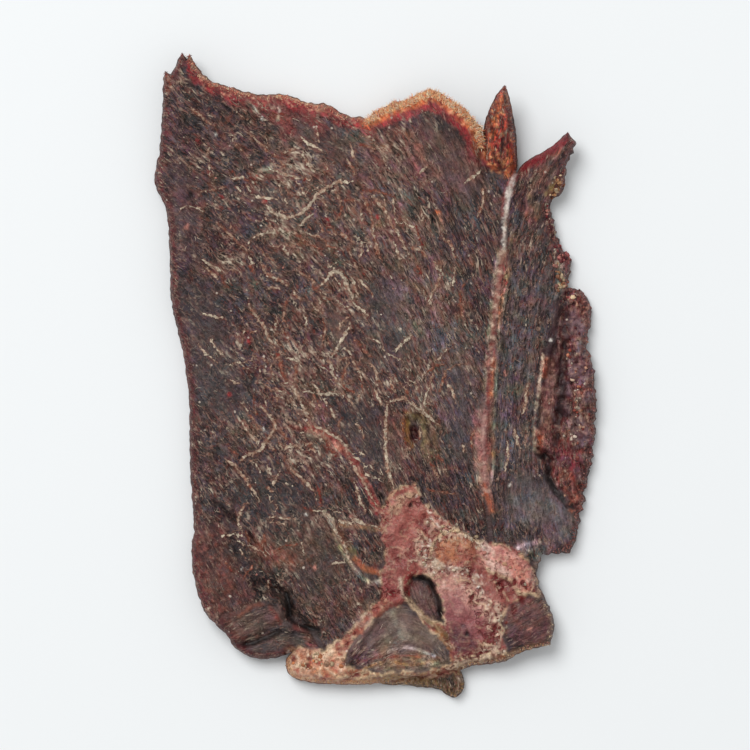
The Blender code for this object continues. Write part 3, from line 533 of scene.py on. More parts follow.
# Veins: from cream at 0 to red at 1, the half width in pixels, and their points
VEINS = [
    (0.10, 0.75, [(305, 112), (310, 116), (315, 118), (320, 117), (325, 113.5), (328, 110), (331, 106.5),
        (336, 103), (340, 101), (348, 100.5)]),
    (0.20, 0.45, [(327, 110), (324, 106), (321, 101), (318, 98)]),
    (0.15, 0.50, [(308, 95), (314, 97), (320, 98), (326, 100)]),
    (0.45, 0.60, [(352, 106), (356, 115), (358, 125), (360, 135), (362, 139)]),
    (0.25, 0.60, [(357, 107), (361, 111), (365, 117), (368, 123), (371, 128), (376, 137)]),
    (0.50, 0.55, [(343, 112), (341, 117), (339.5, 119)]),
    (0.30, 0.60, [(345, 89), (347, 93), (349, 97)]),
    (0.10, 0.80, [(332, 152), (336, 147), (339, 144), (342, 145.5), (344, 148.5), (346, 154),
        (349, 160.5)]),
    (0.30, 0.60, [(302, 140), (306, 146), (312.5, 149), (316, 152)]),
    (0.30, 0.55, [(318, 153), (320, 156), (324, 159)]),
    (0.15, 0.55, [(327, 159.5), (329, 162), (332, 165)]),
    (0.25, 0.60, [(275, 141.5), (278, 145), (281, 148.5)]),
    (0.20, 0.65, [(296.5, 160.5), (299, 164.5), (303.5, 171), (306, 176), (309.5, 182)]),
    (0.55, 0.90, [(310, 183), (312, 188), (313, 194), (315.5, 198)]),
    (0.25, 0.65, [(316, 199), (319, 203), (323, 210), (326, 216.5), (329, 219)]),
    (0.15, 0.50, [(316.5, 206), (318, 208), (320, 211)]),
    (0.15, 0.50, [(324, 217), (331, 221.5), (338, 225), (344, 230), (349, 236)]),
    (0.20, 0.60, [(346, 237), (350, 243), (353, 248), (356, 254), (360, 260)]),
    (0.10, 0.65, [(335, 186), (337, 190), (338.5, 196), (341, 200)]),
    (0.15, 0.65, [(337, 187), (342, 179), (344, 175), (346.5, 170)]),
    (0.45, 0.50, [(333.5, 168), (334, 175), (333.5, 182)]),
    (0.20, 0.50, [(344.5, 206.5), (346, 208.5), (348, 210)]),
    (0.20, 0.65, [(301, 209), (305.5, 214.5), (309, 218), (309.5, 222), (306, 227), (304, 230.5),
        (299, 234), (295, 235.5), (292, 239)]),
    (0.20, 0.60, [(293.5, 218.5), (297.5, 225), (303.5, 230.5)]),
    (0.25, 0.60, [(285, 237), (290, 240.5), (293.5, 244.5), (297.5, 250), (302, 257.5)]),
    (0.05, 0.55, [(306, 240.5), (307.5, 244.5)]),
    (0.35, 0.50, [(305, 250), (309, 254)]),
    (0.20, 0.55, [(317.5, 241.5), (321.5, 245.5), (326.5, 250), (330, 254)]),
    (0.30, 0.50, [(311, 228.5), (314.5, 232.5)]),
    (0.25, 0.50, [(326, 230), (330.5, 234.5)]),
    (0.20, 0.55, [(345, 151.5), (348.5, 161), (353, 164), (355, 167)]),
    (0.25, 0.60, [(356.5, 189), (360, 196.5), (362, 201.5)]),
    (0.25, 0.55, [(365.5, 196.5), (369, 205.5)]),
    (0.15, 0.65, [(364.5, 209), (370, 207.2), (373.5, 207), (377.5, 210.5), (383, 214.5), (390, 219.5)]),
    (0.15, 0.75, [(365, 209), (364, 221), (364, 233), (365.5, 243.5), (367.5, 250.5)]),
    (0.20, 0.60, [(392, 143), (390, 150), (386.5, 156.5), (385, 160)]),
    (0.05, 0.65, [(379.5, 98), (381.5, 95), (384, 93)]),
    (0.10, 0.65, [(403, 101), (407, 98), (411, 94.5)]),
    (0.20, 0.50, [(393, 197.5), (396.5, 203), (399, 209.5)]),
    (0.35, 0.50, [(385, 236), (387, 241), (390, 245.5)]),
    (0.15, 0.55, [(348.5, 248.5), (351, 255.5), (354, 263)]),
    (0.05, 0.80, [(347, 266), (350, 267), (353.5, 268)]),
    (0.10, 0.65, [(333, 262.5), (338, 266.5), (339.5, 273), (343.5, 278.5), (345.5, 285.5), (349, 291)]),
    (0.20, 0.60, [(338, 266.5), (345, 268), (355, 269), (361, 270.5)]),
    (0.05, 0.70, [(337, 288.5), (341, 288), (346, 287.5)]),
    (0.30, 0.50, [(398, 136), (396, 131), (391, 128)]),
    (0.30, 0.50, [(409, 118), (412, 110), (412, 104)]),
    (0.20, 0.55, [(353, 128), (352, 134), (350, 140)]),
    (0.35, 0.50, [(268, 64), (274, 69), (280, 74)]),
    (0.30, 0.50, [(296, 76), (302, 81), (308, 87)]),
    (0.15, 0.55, [(434, 200), (433, 208), (432, 214)]),
    (0.15, 0.50, [(424, 228), (424, 236), (423, 244)]),
    (0.10, 0.55, [(427, 222), (429, 228), (430, 232)]),
]

# Marbled places: the middle and radius in pixels, and how many short veins start there
MARBLING = [
    ((318, 108), 26, 26), ((336, 120), 22, 16), ((300, 140), 18, 12), ((340, 158), 20, 18),
    ((318, 190), 22, 20), ((350, 196), 22, 18), ((378, 200), 20, 14), ((330, 228), 22, 18),
    ((302, 232), 20, 14), ((370, 236), 18, 10), ((318, 272), 24, 14), ((370, 130), 20, 10),
    ((392, 150), 18, 8), ((282, 100), 18, 6), ((360, 92), 30, 8), ((285, 180), 20, 6),
    ((400, 240), 14, 5), ((300, 78), 18, 5), ((292, 282), 14, 5),
]
STRAND_SEED = 12
STRAND_STEP = 0.8
STRAND_LENGTH = (2.0, 8.0)
STRAND_SPREAD = 0.5
STRAND_HALF = (0.06, 0.20)

# Crusty patches, with pale grains that stand up and dark gaps between them, the dark partly
# the crust's own colour and partly painted shade in the gaps: half width and softness in
# pixels, the width of the grains in millimetres, how strongly they show, the pale and the
# dark colour, and their points
CRUSTS = [
    ("spike", 5.5, 2.0, 0.9, 0.9, (238, 170, 116), (84, 10, 22), [(421.5, 54), (420.5, 74), (420, 92)]),
    ("lobe", 3.0, 2.0, 0.9, 0.8, (255, 208, 146), (164, 50, 44), [(357, 68), (366, 65), (376, 61.5),
        (386, 58.5), (395, 62.5), (402, 69)]),
    ("lobe right", 3.4, 2.0, 1.0, 0.75, (236, 168, 130), (140, 26, 40), [(394, 63), (403, 71), (409, 79),
        (411, 86)]),
    ("top edge", 2.4, 2.0, 0.9, 0.7, (226, 170, 140), (132, 30, 38), [(270, 46), (277, 53), (288, 57),
        (302, 60.5), (318, 61.5), (335, 65.5), (354, 71)]),
    ("upper seam", 1.4, 1.0, 0.9, 0.75, (244, 234, 222), (146, 88, 76), [(427.5, 97), (424, 107),
        (422.6, 118), (421.6, 135)]),
    ("seam", 2.4, 1.6, 1.2, 0.85, (226, 194, 170), (116, 42, 38), [(421, 136), (418.5, 152), (416.5, 170),
        (415.5, 190), (415, 205)]),
    ("seam foot", 2.6, 3.0, 1.2, 0.75, (206, 168, 152), (118, 50, 50), [(412.5, 207), (411, 222),
        (411.5, 236), (413, 254)]),
    ("ridge", 2.8, 1.8, 1.0, 0.7, (206, 160, 138), (96, 34, 36), [(444, 190), (443.5, 204), (442, 218),
        (440.5, 231)]),
    ("ridge line", 1.0, 1.0, 0.7, 0.7, (236, 210, 184), (112, 48, 40), [(441.5, 186), (440, 195),
        (438.5, 208), (437.2, 218), (437.4, 232)]),
    ("window", 13.0, 5.0, 2.2, 0.45, (172, 152, 134), (84, 56, 58), [(362, 322), (370, 330), (378, 330)]),
    ("crater", 5.0, 3.0, 0.9, 0.6, (186, 152, 110), (44, 16, 14), [(379, 217), (382, 223), (384, 230)]),
    ("torn flank", 5.0, 3.0, 0.9, 0.55, (206, 156, 134), (80, 20, 32), [(455, 158), (459, 176),
        (460, 200), (460, 226)]),
    ("torn flank foot", 5.0, 3.0, 0.9, 0.55, (200, 116, 88), (74, 14, 26), [(450, 236), (455, 248),
        (458, 260)]),
    ("reddish corner", 7.0, 4.0, 1.2, 0.7, (134, 68, 54), (44, 20, 20), [(277, 280), (279, 296),
        (286, 306)]),
    ("red seam", 1.8, 1.2, 0.8, 0.85, (216, 168, 146), (108, 34, 34), [(314, 221), (326, 222), (334, 224),
        (342, 231), (350, 241), (356, 252), (360, 262)]),
    ("low nest", 9.0, 6.0, 1.0, 0.5, (148, 96, 72), (52, 30, 28), [(303, 279), (318, 284)]),
    ("flap edge", 2.2, 1.6, 0.8, 0.6, (150, 92, 84), (44, 18, 20), [(451, 84), (449, 98), (443, 112),
        (447, 126)]),
    ("nest", 7.0, 6.0, 0.9, 0.4, (168, 130, 108), (64, 34, 32), [(335, 150), (340, 172)]),
    ("trail", 4.0, 4.0, 0.8, 0.45, (176, 128, 106), (80, 34, 32), [(306, 176), (313, 194), (322, 210),
        (328, 220)]),
    ("island", 6.0, 5.0, 0.9, 0.4, (164, 116, 94), (72, 30, 30), [(306, 100), (318, 106)]),
]
FAT_CRUSTS = [
    ("upper fat", 8.0, 4.0, 2.0, 0.5, (196, 132, 118), (118, 44, 46), [(372, 256), (374, 268),
        (367, 286)]),
    ("knots", 2.8, 1.6, 0.7, 0.85, (244, 228, 212), (150, 72, 66), [(381, 256), (386, 266), (398, 271),
        (411, 279)]),
    ("knots left", 2.6, 1.6, 0.8, 0.95, (252, 236, 220), (142, 66, 60), [(384, 276), (383, 284),
        (388, 291), (398, 292), (408, 294), (412, 301)]),
    ("oval", 5.0, 3.0, 1.6, 0.45, (206, 146, 108), (134, 72, 56), [(393, 284), (403, 281)]),
    ("oval hem", 1.6, 1.6, 0.8, 0.8, (240, 218, 194), (146, 76, 62), [(387, 285), (388, 279), (393, 275),
        (401, 274), (408, 279)]),
    ("right lobe", 7.0, 3.0, 1.7, 0.65, (240, 198, 182), (138, 40, 46), [(416, 285), (425, 289),
        (432, 296)]),
    ("trunk top", 4.0, 3.0, 1.0, 0.5, (234, 204, 188), (150, 82, 76), [(393, 297), (402, 302)]),
    ("trunk foot", 3.4, 2.2, 0.9, 0.95, (240, 212, 186), (108, 28, 32), [(413, 305), (419, 318),
        (414, 333)]),
    ("blob", 8.0, 3.0, 1.2, 0.85, (255, 226, 196), (176, 72, 52), [(322, 339), (338, 338)]),
    ("left leg", 3.5, 2.0, 0.9, 0.7, (226, 182, 146), (118, 40, 40), [(361, 308), (350, 320),
        (342, 332)]),
    ("inner leg", 2.4, 1.6, 0.8, 0.6, (216, 180, 138), (96, 52, 34), [(374, 304), (382, 314),
        (392, 328)]),
    ("foot", 2.8, 1.4, 0.7, 0.95, (250, 222, 178), (104, 56, 34), [(344, 343), (372, 341), (397, 338),
        (420, 333), (444, 326)]),
]

# Calm places, where the flecks and the web fade out: half width and softness in pixels, how
# strongly, and their points
CALM = [
    (2.4, 1.6, 0.3, [(341, 269), (352, 270), (361, 271)]),
    (2.4, 1.6, 0.6, [(347, 285), (354, 292), (361, 296)]),
    (13.0, 9.0, 0.45, [(302, 252), (316, 268), (328, 286)]),
    (15.0, 5.0, 0.30, [(362, 322), (370, 330), (378, 330)]),
    (8.0, 7.0, 0.80, [(360, 320), (372, 316), (382, 324)]),
    (4.0, 5.0, 0.55, [(303, 108), (313, 110)]),
    (9.0, 8.0, 0.60, [(272, 160), (278, 184), (285, 206)]),
    (9.0, 8.0, 0.50, [(390, 74), (398, 84), (402, 96)]),
    (5.0, 6.0, 0.50, [(316, 68), (330, 76), (342, 84)]),
    (5.0, 5.0, 0.50, [(262, 96), (264, 118), (268, 136)]),
    (3.0, 4.0, 0.55, [(340, 167), (343, 180)]),
    (6.0, 10.0, 0.45, [(362, 156), (368, 182)]),
    (8.0, 9.0, 0.5, [(350, 216), (361, 238)]),
    (6.0, 6.0, 0.4, [(398, 196), (402, 232)]),
    (1.5, 1.0, 0.85, [(427.5, 97), (424, 107), (422.6, 118), (422, 127), (421.6, 135)]),
    (1.6, 1.2, 0.3, [(421, 136), (418.5, 152), (416.5, 170), (415.5, 190), (415, 205)]),
    (3.2, 1.6, 0.5, [(412.5, 208), (411, 222), (411.5, 236), (413, 252)]),
    (10.0, 6.0, 0.4, [(279, 280), (282, 296), (290, 306)]),
    (2.4, 2.4, 0.6, [(286, 266), (290, 276), (296, 287), (303, 300)]),
    (10.0, 6.0, 0.5, [(432, 256), (444, 260), (450, 266)]),
    (9.0, 4.0, 0.45, [(431, 314), (436, 320)]),
    (0.8, 0.8, 0.5, [(441, 188), (440, 197), (438.5, 208), (437.5, 222), (438, 232)]),
    (1.6, 1.2, 0.55, [(326, 222), (334, 224), (342, 231), (350, 241), (356, 252), (360, 262)]),
    (4.0, 3.0, 0.6, [(393, 284), (403, 281)]),
    (6.0, 3.0, 0.85, [(396, 303), (400, 312), (404, 326)]),
    (5.0, 4.0, 0.45, [(416, 284), (424, 288), (428, 294)]),
    (2.6, 1.6, 0.85, [(408, 289), (412, 296), (417, 304)]),
    (6.0, 4.0, 0.6, [(374, 264), (370, 282), (366, 294)]),
    (9.0, 4.0, 0.6, [(322, 340), (338, 338)]),
    (1.2, 1.2, 0.7, [(281, 257.5), (289, 265), (293, 269), (301, 281)]),
    (2.4, 1.6, 0.6, [(446, 190), (444, 205), (442, 222)]),
    (2.2, 1.4, 0.75, [(431, 93), (438, 88), (446, 83.5), (452, 78)]),
    (2.4, 2.4, 0.5, [(268, 42), (277, 52), (300, 59), (318, 61), (335, 65), (354, 70)]),
    (4.0, 3.0, 0.6, [(360, 69), (374, 64), (386, 61), (397, 65), (406, 76)]),
    (1.6, 1.4, 0.6, [(302, 299), (312, 303), (317, 311), (328, 321)]),
    (1.3, 0.9, 1.0, [(288, 329.5), (297, 328), (304, 325.5), (311, 322)]),
    (1.3, 0.9, 1.0, [(315, 303.5), (317, 309), (316.5, 314), (323, 319.5), (331, 321)]),
    (6.0, 3.0, 0.5, [(291, 320), (300, 317), (308, 314)]),
    (5.0, 3.0, 0.5, [(300, 330), (312, 327), (319, 329)]),
    (4.5, 3.0, 0.6, [(379, 219), (381, 226), (385, 229)]),
    (3.6, 3.0, 0.6, [(379, 302), (386, 310)]),
    (1.8, 1.2, 1.0, [(377, 295.5), (382, 295), (386.5, 298), (389, 304), (390.5, 311), (392, 316)]),
    (3.6, 2.4, 0.7, [(456, 168), (459, 173)]),
    (3.2, 2.4, 0.7, [(458.5, 191), (460.5, 195)]),
    (3.6, 2.4, 0.7, [(459, 220), (461.5, 226)]),
    (2.4, 2.0, 0.7, [(446, 182), (449, 192), (451.5, 203), (451, 214)]),
    (1.2, 1.2, 0.6, [(292, 313), (297, 310), (304, 307), (310, 309)]),
    (1.6, 1.2, 1.0, [(439, 233), (445, 237.5), (444, 245), (449, 254), (457, 262), (464, 266)]),
    (1.6, 1.4, 0.9, [(453, 165), (451.5, 190), (450, 215), (447.5, 230)]),
    (1.6, 1.4, 0.8, [(449, 160), (447.5, 170), (445, 180), (443, 186)]),
]

# Fringes of loose fibres along the rim: the runs, how many to a millimetre, the shortest and
# longest, how far in they start, how far up they point, and their colours
FRINGES = [
    # the lobe's fringe colours are partly the fibres' own and partly painted light that shines through
    # them
    (("fringed lobe",), 60.0, 0.35, 1.25, 1.1, 0.15, ((255, 206, 158), (250, 176, 122), (255, 226, 194),
        (238, 142, 96), (255, 200, 150))),
    (("fringed lobe",), 24.0, 0.5, 1.5, 1.0, 0.2, ((255, 226, 188), (255, 200, 146), (226, 128, 76),
        (190, 70, 56), (248, 176, 112))),
    (("top edge",), 16.0, 0.2, 0.7, 0.7, 0.15, ((255, 200, 156), (196, 84, 72), (150, 44, 48),
        (236, 150, 120), (176, 66, 56), STRAW)),
    (("corner step", "corner tooth"), 10.0, 0.2, 0.55, 0.5, 0.1, (DARK_RED, BRICK, TAN)),
    (("spike left", "spike right"), 12.0, 0.15, 0.4, 0.4, 0.1, (DARK_RED, BRICK, ORANGE)),
    (("flap top",), 10.0, 0.15, 0.4, 0.6, 0.1, (CRIMSON, DARK_RED, BRICK)),
    (("flap side",), 7.0, 0.2, 0.5, 0.9, 0.2, (DARK_RED, BRICK, PALE_PINK, (118, 60, 58))),
    (("torn flank",), 14.0, 0.25, 0.7, 0.9, 0.2, ((84, 44, 42), BRICK, (122, 80, 72),
        (92, 54, 52), PALE_PINK)),
    (("flank foot",), 8.0, 0.2, 0.6, 0.6, 0.1, (STRAW, TAN, (120, 80, 72))),
    (("web rim", "blob rim"), 12.0, 0.15, 0.5, 0.5, 0.1, (STRAW, GOLD, PALE_PINK)),
    (("flake",), 10.0, 0.25, 0.7, 0.8, 0.1, (OLIVE, TAN, GOLD)),
    (("folded corner", "left edge"), 9.0, 0.12, 0.4, 0.4, 0.1, (DARK_RED, (84, 50, 46), TAN)),
]
FRINGE_SEED = 5
FRINGE_RADIUS = (0.03, 0.075)

# Loose shreds lying on the top: their region, how many, the shortest and longest, the least
# and greatest radius, how much they stray from the fibres in radians, and their colours
SHREDS = [
    ("torn flank", 70, 0.4, 1.2, 0.05, 0.14, 1.3, ((74, 38, 38), (110, 56, 52), (128, 78, 70),
        (98, 72, 72))),
    ("slab", 900, 0.4, 1.5, 0.03, 0.06, 0.45, ((84, 64, 62), (112, 88, 80), (150, 124, 110), (70, 44, 42),
        (204, 184, 162), (120, 62, 52))),
]
SHRED_SEED = 8

# Crumbs: where they are scattered, as a line and how far they stray from it in pixels, how
# many, the least and greatest radius, and their colours
CRUMBS = [
    ([(452, 150), (458, 158), (460, 190), (460, 225), (454, 256)], 5.0, 70, 0.12, 0.34, ((124, 48, 44),
        (150, 84, 70), (196, 148, 124), (96, 38, 40))),
    ([(454, 184), (458, 200), (458, 212), (456, 224)], 2.4, 46, 0.12, 0.36, ((222, 190, 164),
        (196, 126, 96), (160, 74, 60), (236, 214, 194))),
    ([(452, 151), (455, 158)], 2.0, 16, 0.16, 0.46, (STRAW, PALE_PINK, (160, 74, 70))),
    ([(450, 133), (453, 137), (450, 139)], 1.8, 34, 0.18, 0.48, ((170, 92, 90), (200, 124, 114),
        (134, 50, 54), (108, 34, 40))),
    ([(448, 142), (450.5, 147), (450, 152)], 1.8, 34, 0.16, 0.46, (STRAW, (196, 140, 98),
        (160, 106, 78), PALE_PINK)),
    ([(448, 99), (450.5, 102), (446, 107)], 1.6, 34, 0.16, 0.44, ((206, 150, 106), (170, 98, 64),
        (104, 46, 36), STRAW)),
    ([(443, 111), (444.5, 118), (446.5, 126)], 1.2, 24, 0.16, 0.44, (CREAM, (132, 30, 38),
        (74, 26, 30), PALE_PINK)),
    ([(386, 268), (400, 272), (411, 279)], 2.0, 30, 0.14, 0.38, (STRAW, PALE_PINK, CREAM)),
    ([(414, 284), (427, 287), (434, 297)], 4.5, 22, 0.14, 0.40, (PALE_PINK, PEACH, CREAM)),
    ([(381, 279), (385, 289), (404, 291)], 2.0, 22, 0.14, 0.36, (STRAW, CREAM, PALE_PINK)),
    ([(320, 340), (332, 334), (340, 338)], 4.0, 34, 0.16, 0.46, (PEACH, STRAW, (206, 128, 84))),
    ([(420, 310), (421, 322), (412, 334)], 2.0, 24, 0.14, 0.36, (CREAM, PALE_PINK, BRICK)),
    ([(300, 110), (350, 150), (330, 230), (300, 290)], 26.0, 60, 0.08, 0.20, (CREAM,
        (226, 212, 196), PALE_PINK)),
]
CRUMB_SEED = 3

# Broad tints of the lean: the colour, the size of its patches in millimetres, the layer of
# their noise, where the noise begins and ends to show it, and how strongly
LEAN_TINTS = [
    (BROWN_LEAN, 15.0, 42, -0.1, 0.7, 0.45),
    (PURPLE_LEAN, 12.0, 43, 0.0, 0.7, 0.5),
    (GREY_LEAN, 10.0, 44, 0.0, 0.6, 0.45),
]
UNDERSIDE_TINTS = [
    (RED_LEAN, 14.0, 142, -0.1, 0.7, 0.5),
    (GREY_LEAN, 11.0, 143, 0.0, 0.7, 0.5),
]

# The noises of the look: how strong each is, the size of its swells in millimetres, which is
# one number over the slice or a pair along and across the fibres, its layer, and its octaves
SWELLS = {
    "fat edge": (0.5, 1.6, 31, 3),
    "fat mauve": (1.0, 4.0, 33, 3),
    "fat grain": (0.20, 1.1, 39, 3),
    "fat lumps": (1.0, 2.3, 64, 3),
    "fat hem": (1.0, 2.0, 65, 3),
    "fat ridges": (1.0, 3.0, 67, 3),
    "fat threads": (1.0, 2.0, 68, 3),
    "vein sway x": (0.20, 1.9, 35, 1),
    "vein shake x": (0.10, 0.9, 36, 1),
    "vein sway y": (0.20, 1.9, 37, 1),
    "vein shake y": (0.10, 0.9, 38, 1),
    "lean patches": (0.13, 9.0, 40, 3),
    "lean red": (1.0, (5.0, 2.4), 45, 3),
    "lean streaks": (0.22, (2.6, 1.2), 46, 3),
    "pale flecks": (0.070, 6.0, 47, 3),
    "red flecks": (0.07, 5.0, 48, 3),
    "dark flecks": (0.06, 5.0, 49, 3),
    "fibre sway": (0.30, (7.0, 4.0), 61, 1),
    "fibre shake": (0.12, (2.5, 2.0), 62, 1),
    "fibre ridges": (0.15, (5.5, 1.25), 21, 1),
    "fine ridges": (0.09, (2.6, 0.75), 22, 1),
    "humps": (0.16, 3.0, 23, 3),
    "flank bend": (0.5, 2.0, 24, 2),
    "flank bits": (1.0, 1.0, 28, 2),
    "flank edge": (0.4, 1.5, 34, 3),
    "stroke edge": (0.45, 1.6, 51, 3),
    "stroke fibres": (0.25, (1.5, 0.5), 55, 1),
    "stroke wear": (1.0, 1.5, 52, 3),
    "crust edge": (1.0, 1.5, 53, 3),
    "rust streaks": (1.0, (2.6, 1.9), 70, 3),
    "rust patches": (0.8, 5.0, 74, 3),
    "straw streaks": (1.0, (2.2, 1.7), 78, 3),
    "straw patches": (0.8, 4.4, 82, 3),
    "dark streaks": (1.0, (2.6, 1.4), 86, 3),
    "rim wander": (0.45, 1.8, 71, 3),
    "rim fray": (0.25, 0.7, 74, 1),
    "rim wear": (1.0, 2.2, 77, 3),
    "dot edge": (0.6, 0.8, 81, 1),
    "under rim": (0.5, 2.0, 144, 3),
    "under veins": (8.0, (14.0, 6.0), 145, 1),
    "under hues": (0.3, 8.0, 146, 3),
    "under fat": (1.5, 5.0, 147, 3),
    "under pale": (0.03, 9.0, 148, 3),
    "under red": (0.03, 7.0, 149, 3),
    "under widths": (1.0, 9.0, 150, 3),
}

# The torn flank's own colours, and the painted shade in its hollows
FLANK_RED = (116, 48, 48)
# painted shade for the sunk gaps between the lumps
FLANK_HOLLOW_SHADE = (44, 16, 20)
FLANK_PALE = (214, 170, 148)
FLANK_GREY = (124, 98, 104)
FLANK_LUMP = (118, 66, 66)

# What the walls of the rim are tinted with
WALL_BROWN = (84, 44, 38)

# How rusty and straw-coloured places change red, green and blue over the strokes
RUST_TINT = (0.27, -0.13, -0.12)
STRAW_TINT = (0.06, 0.09, -0.25)

# What a point carries that no vein is near: the distance, the half width and the hue
NO_VEIN = (3.0, -1.0, 0.0)

# How curves are sampled, how far around a vein its points lie, and how it narrows at its ends:
# the share of its width that stays, and over how many millimetres
CURVE_STEP = 1.5
VEIN_STEP = 0.8
VEIN_MARGIN = 1.3
VEIN_TIP = 0.35
VEIN_TAPER = 2.0

# How the short veins are strewn: how far from the middle of their place, in its radius, how
# they bend and wander at each step in radians, and the spread of their hues
STRAND_SCATTER = 0.5
STRAND_BEND = 0.12
STRAND_WANDER = 0.16
STRAND_HUES = (1.1, 2.6)

# Over how many points of the ring its thickness, its raggedness and its bands change
THICKNESS_BLEND = 12
RAGGED_BLEND = 6
BAND_BLEND = 5

# How the fringe is set: the least way in from the edge, how far it is strewn and how deep it
# is sunk in millimetres, and how far it turns from straight out in radians
FRINGE_INWARD = 0.25
FRINGE_SCATTER = 0.15
FRINGE_SINK = 0.04
FRINGE_TURN = 0.55

# How far a loose fibre bends from part to part, in radians, and how many parts it has
FIBRE_BEND = 0.25
FIBRE_PARTS = 3

# How far shreds keep from the edge, and how near shreds and crumbs are to a point of the top
SHRED_CLEARANCE = 0.6
SHRED_REACH = 0.5
CRUMB_REACH = 0.4

# How lumpy crumbs are, how close their lumps lie, and how flat they are
CRUMB_LUMPS = 0.55
CRUMB_SWELLS = 1.3
CRUMB_FLATTEN = (1.0, 1.0, 0.6)

# Flecks in the lean: their noise to a millimetre along and across the fibres, its place, its
# detail, the share of the bias they take, where the noise begins and ends to show them, and
# how strongly
# the gap flecks are painted shade: dark in the sunk gaps between fibre bundles
GAP_SHADE_FLECKS = [
    (0.56, 1.6, 9.1, 2.0, 1.0, 0.55, 0.68, 1.0),
    (1.2, 3.0, 12.7, 1.0, 1.0, 0.56, 0.66, 0.7),
]
BLUSH_FLECKS = [
    (0.65, 1.35, 17.3, 2.0, 1.0, 0.555, 0.67, 1.0),
]
DASH_FLECKS = [
    (0.60, 1.4, 29.9, 2.0, 1.0, 0.575, 0.69, 1.0),
    (1.1, 2.5, 37.7, 1.0, 1.0, 0.575, 0.67, 0.9),
    (1.9, 3.9, 33.1, 1.0, 1.0, 0.575, 0.66, 0.8),
    (0.26, 1.5, 45.9, 1.5, 1.3, 0.60, 0.69, 1.0),
]

# Colours in the material, by the value that picks them
BLUSH_RAMP = [(0.38, (86, 20, 26)), (0.5, (116, 42, 36)), (0.60, (146, 86, 62))]
DASH_RAMP = [(0.36, (128, 68, 58)), (0.45, (140, 100, 88)), (0.54, (156, 126, 112)),
             (0.62, (190, 164, 142)), (0.70, (230, 212, 188))]
HAIR_RAMP = [(0.38, (136, 72, 58)), (0.5, (170, 124, 104)), (0.62, (214, 192, 168))]
CRUMB_RAMP = [(0.0, (58, 30, 32)), (0.3, (104, 44, 44)), (0.5, (118, 74, 66)),
              (0.72, (94, 74, 74)), (0.88, (156, 118, 108)), (1.0, (216, 194, 174))]
HALO_RAMP = [(0.4, (122, 46, 40)), (0.55, (148, 96, 78))]
VEIN_RAMP = [(0.0, (232, 214, 188)), (0.28, (200, 164, 140)), (0.55, (162, 100, 78)),
             (0.8, (142, 62, 48)), (1.0, (128, 40, 38))]
# painted shade for the gaps between fibre bundles
GAP_SHADE_COLOUR = (26, 17, 17)
PIT_COLOUR = (112, 26, 32)
WEB_COLOUR = (234, 206, 178)
SPECK_COLOUR = (216, 198, 182)

# Large numbers that scramble a cell's place and layer
SCRAMBLE_X = 374761393
SCRAMBLE_Y = 668265263
SCRAMBLE_LAYER = 974634777
SCRAMBLE_ALL = 1274126177

# How much of its photographed colour the meat keeps, as the light here is stronger
PHOTO_LIGHT = 0.84

# How far the finest relief of a material stands up, in metres
MEAT_RELIEF = 0.00026
THREAD_RELIEF = 0.00008

# Where the top, the underside and the strips of the wall lie in a picture of the mesh laid out
# flat, in shares of its width
LAYOUT_MARGIN = 0.005
LAYOUT_WIDTH = 0.485
LAYOUT_LOW = 0.26
UNDERSIDE_LEFT = 0.51
STRIP_LENGTH = 0.96
STRIP_LOW = 0.02
STRIP_PITCH = 0.055
STRIP_HEIGHT = 0.04

# How the wall and the underside read the fibres' noise away from where the top reads it
WALL_FIBRE_SCALE = 1.3
WALL_FIBRE_SHIFT = 90.0
UNDERSIDE_FIBRE_SHIFT = 15.0

# Light, floor and camera, in metres
WORLD_LIGHT = 0.53
SOFT_BOX_SIZE = 1.0
SOFT_BOX_POWER = 20.0
SOFT_BOX_PLACE = (-0.55, 0.75, 1.5)
FLOOR_REACH = 4.0
FLOOR_DROP = 0.00005
FLOOR_COLOUR = (0.86, 0.885, 0.895, 1.0)
CAMERA_HEIGHT = 0.9
FRAME_SHARE = 0.86


# Small maths

def linear(colour):
    """A colour as it looks, from 0 to 255, as linear light."""
    share = np.array(colour, dtype=float) / 255.0
    return np.where(share <= 0.04045, share / 12.92, ((share + 0.055) / 1.055) ** 2.4)


def ease(share):
    """A smooth step from 0 to 1."""
    share = np.clip(share, 0.0, 1.0)
    return share * share * (3.0 - 2.0 * share)


def fade(values, low, high):
    """0 below low, 1 above high, and smooth between."""
    return ease((values - low) / (high - low))


def blend(base, colour, share):
    """The colours of base, with another laid over them by a share for each."""
    return base + (colour - base) * share[:, None]


# Noise. The layer picks which of many noises is read.

def scramble(i, j, layer):
    """A number from 0 to 1 for each cell, which looks random but is always the same."""
    mixed = i.astype(np.int64) * SCRAMBLE_X + j.astype(np.int64) * SCRAMBLE_Y
    mixed = mixed + layer * SCRAMBLE_LAYER
    mixed = (mixed ^ (mixed >> 13)) * SCRAMBLE_ALL
    mixed = mixed ^ (mixed >> 16)
    return (mixed & 0xFFFFF) / float(0x100000)


def ripple(x, y, layer):
    """Smooth noise of about -1 to 1, with cells one unit wide."""
    i = np.floor(x)
    j = np.floor(y)
    fx = x - i
    fy = y - j

    def pull(di, dj):
        turn = 2.0 * math.pi * scramble(i + di, j + dj, layer)
        return np.cos(turn) * (fx - di) + np.sin(turn) * (fy - dj)

    sx = fx * fx * fx * (fx * (fx * 6.0 - 15.0) + 10.0)
    sy = fy * fy * fy * (fy * (fy * 6.0 - 15.0) + 10.0)
    low = pull(0, 0) * (1.0 - sx) + pull(1, 0) * sx
    high = pull(0, 1) * (1.0 - sx) + pull(1, 1) * sx
    return 1.5 * (low * (1.0 - sy) + high * sy)


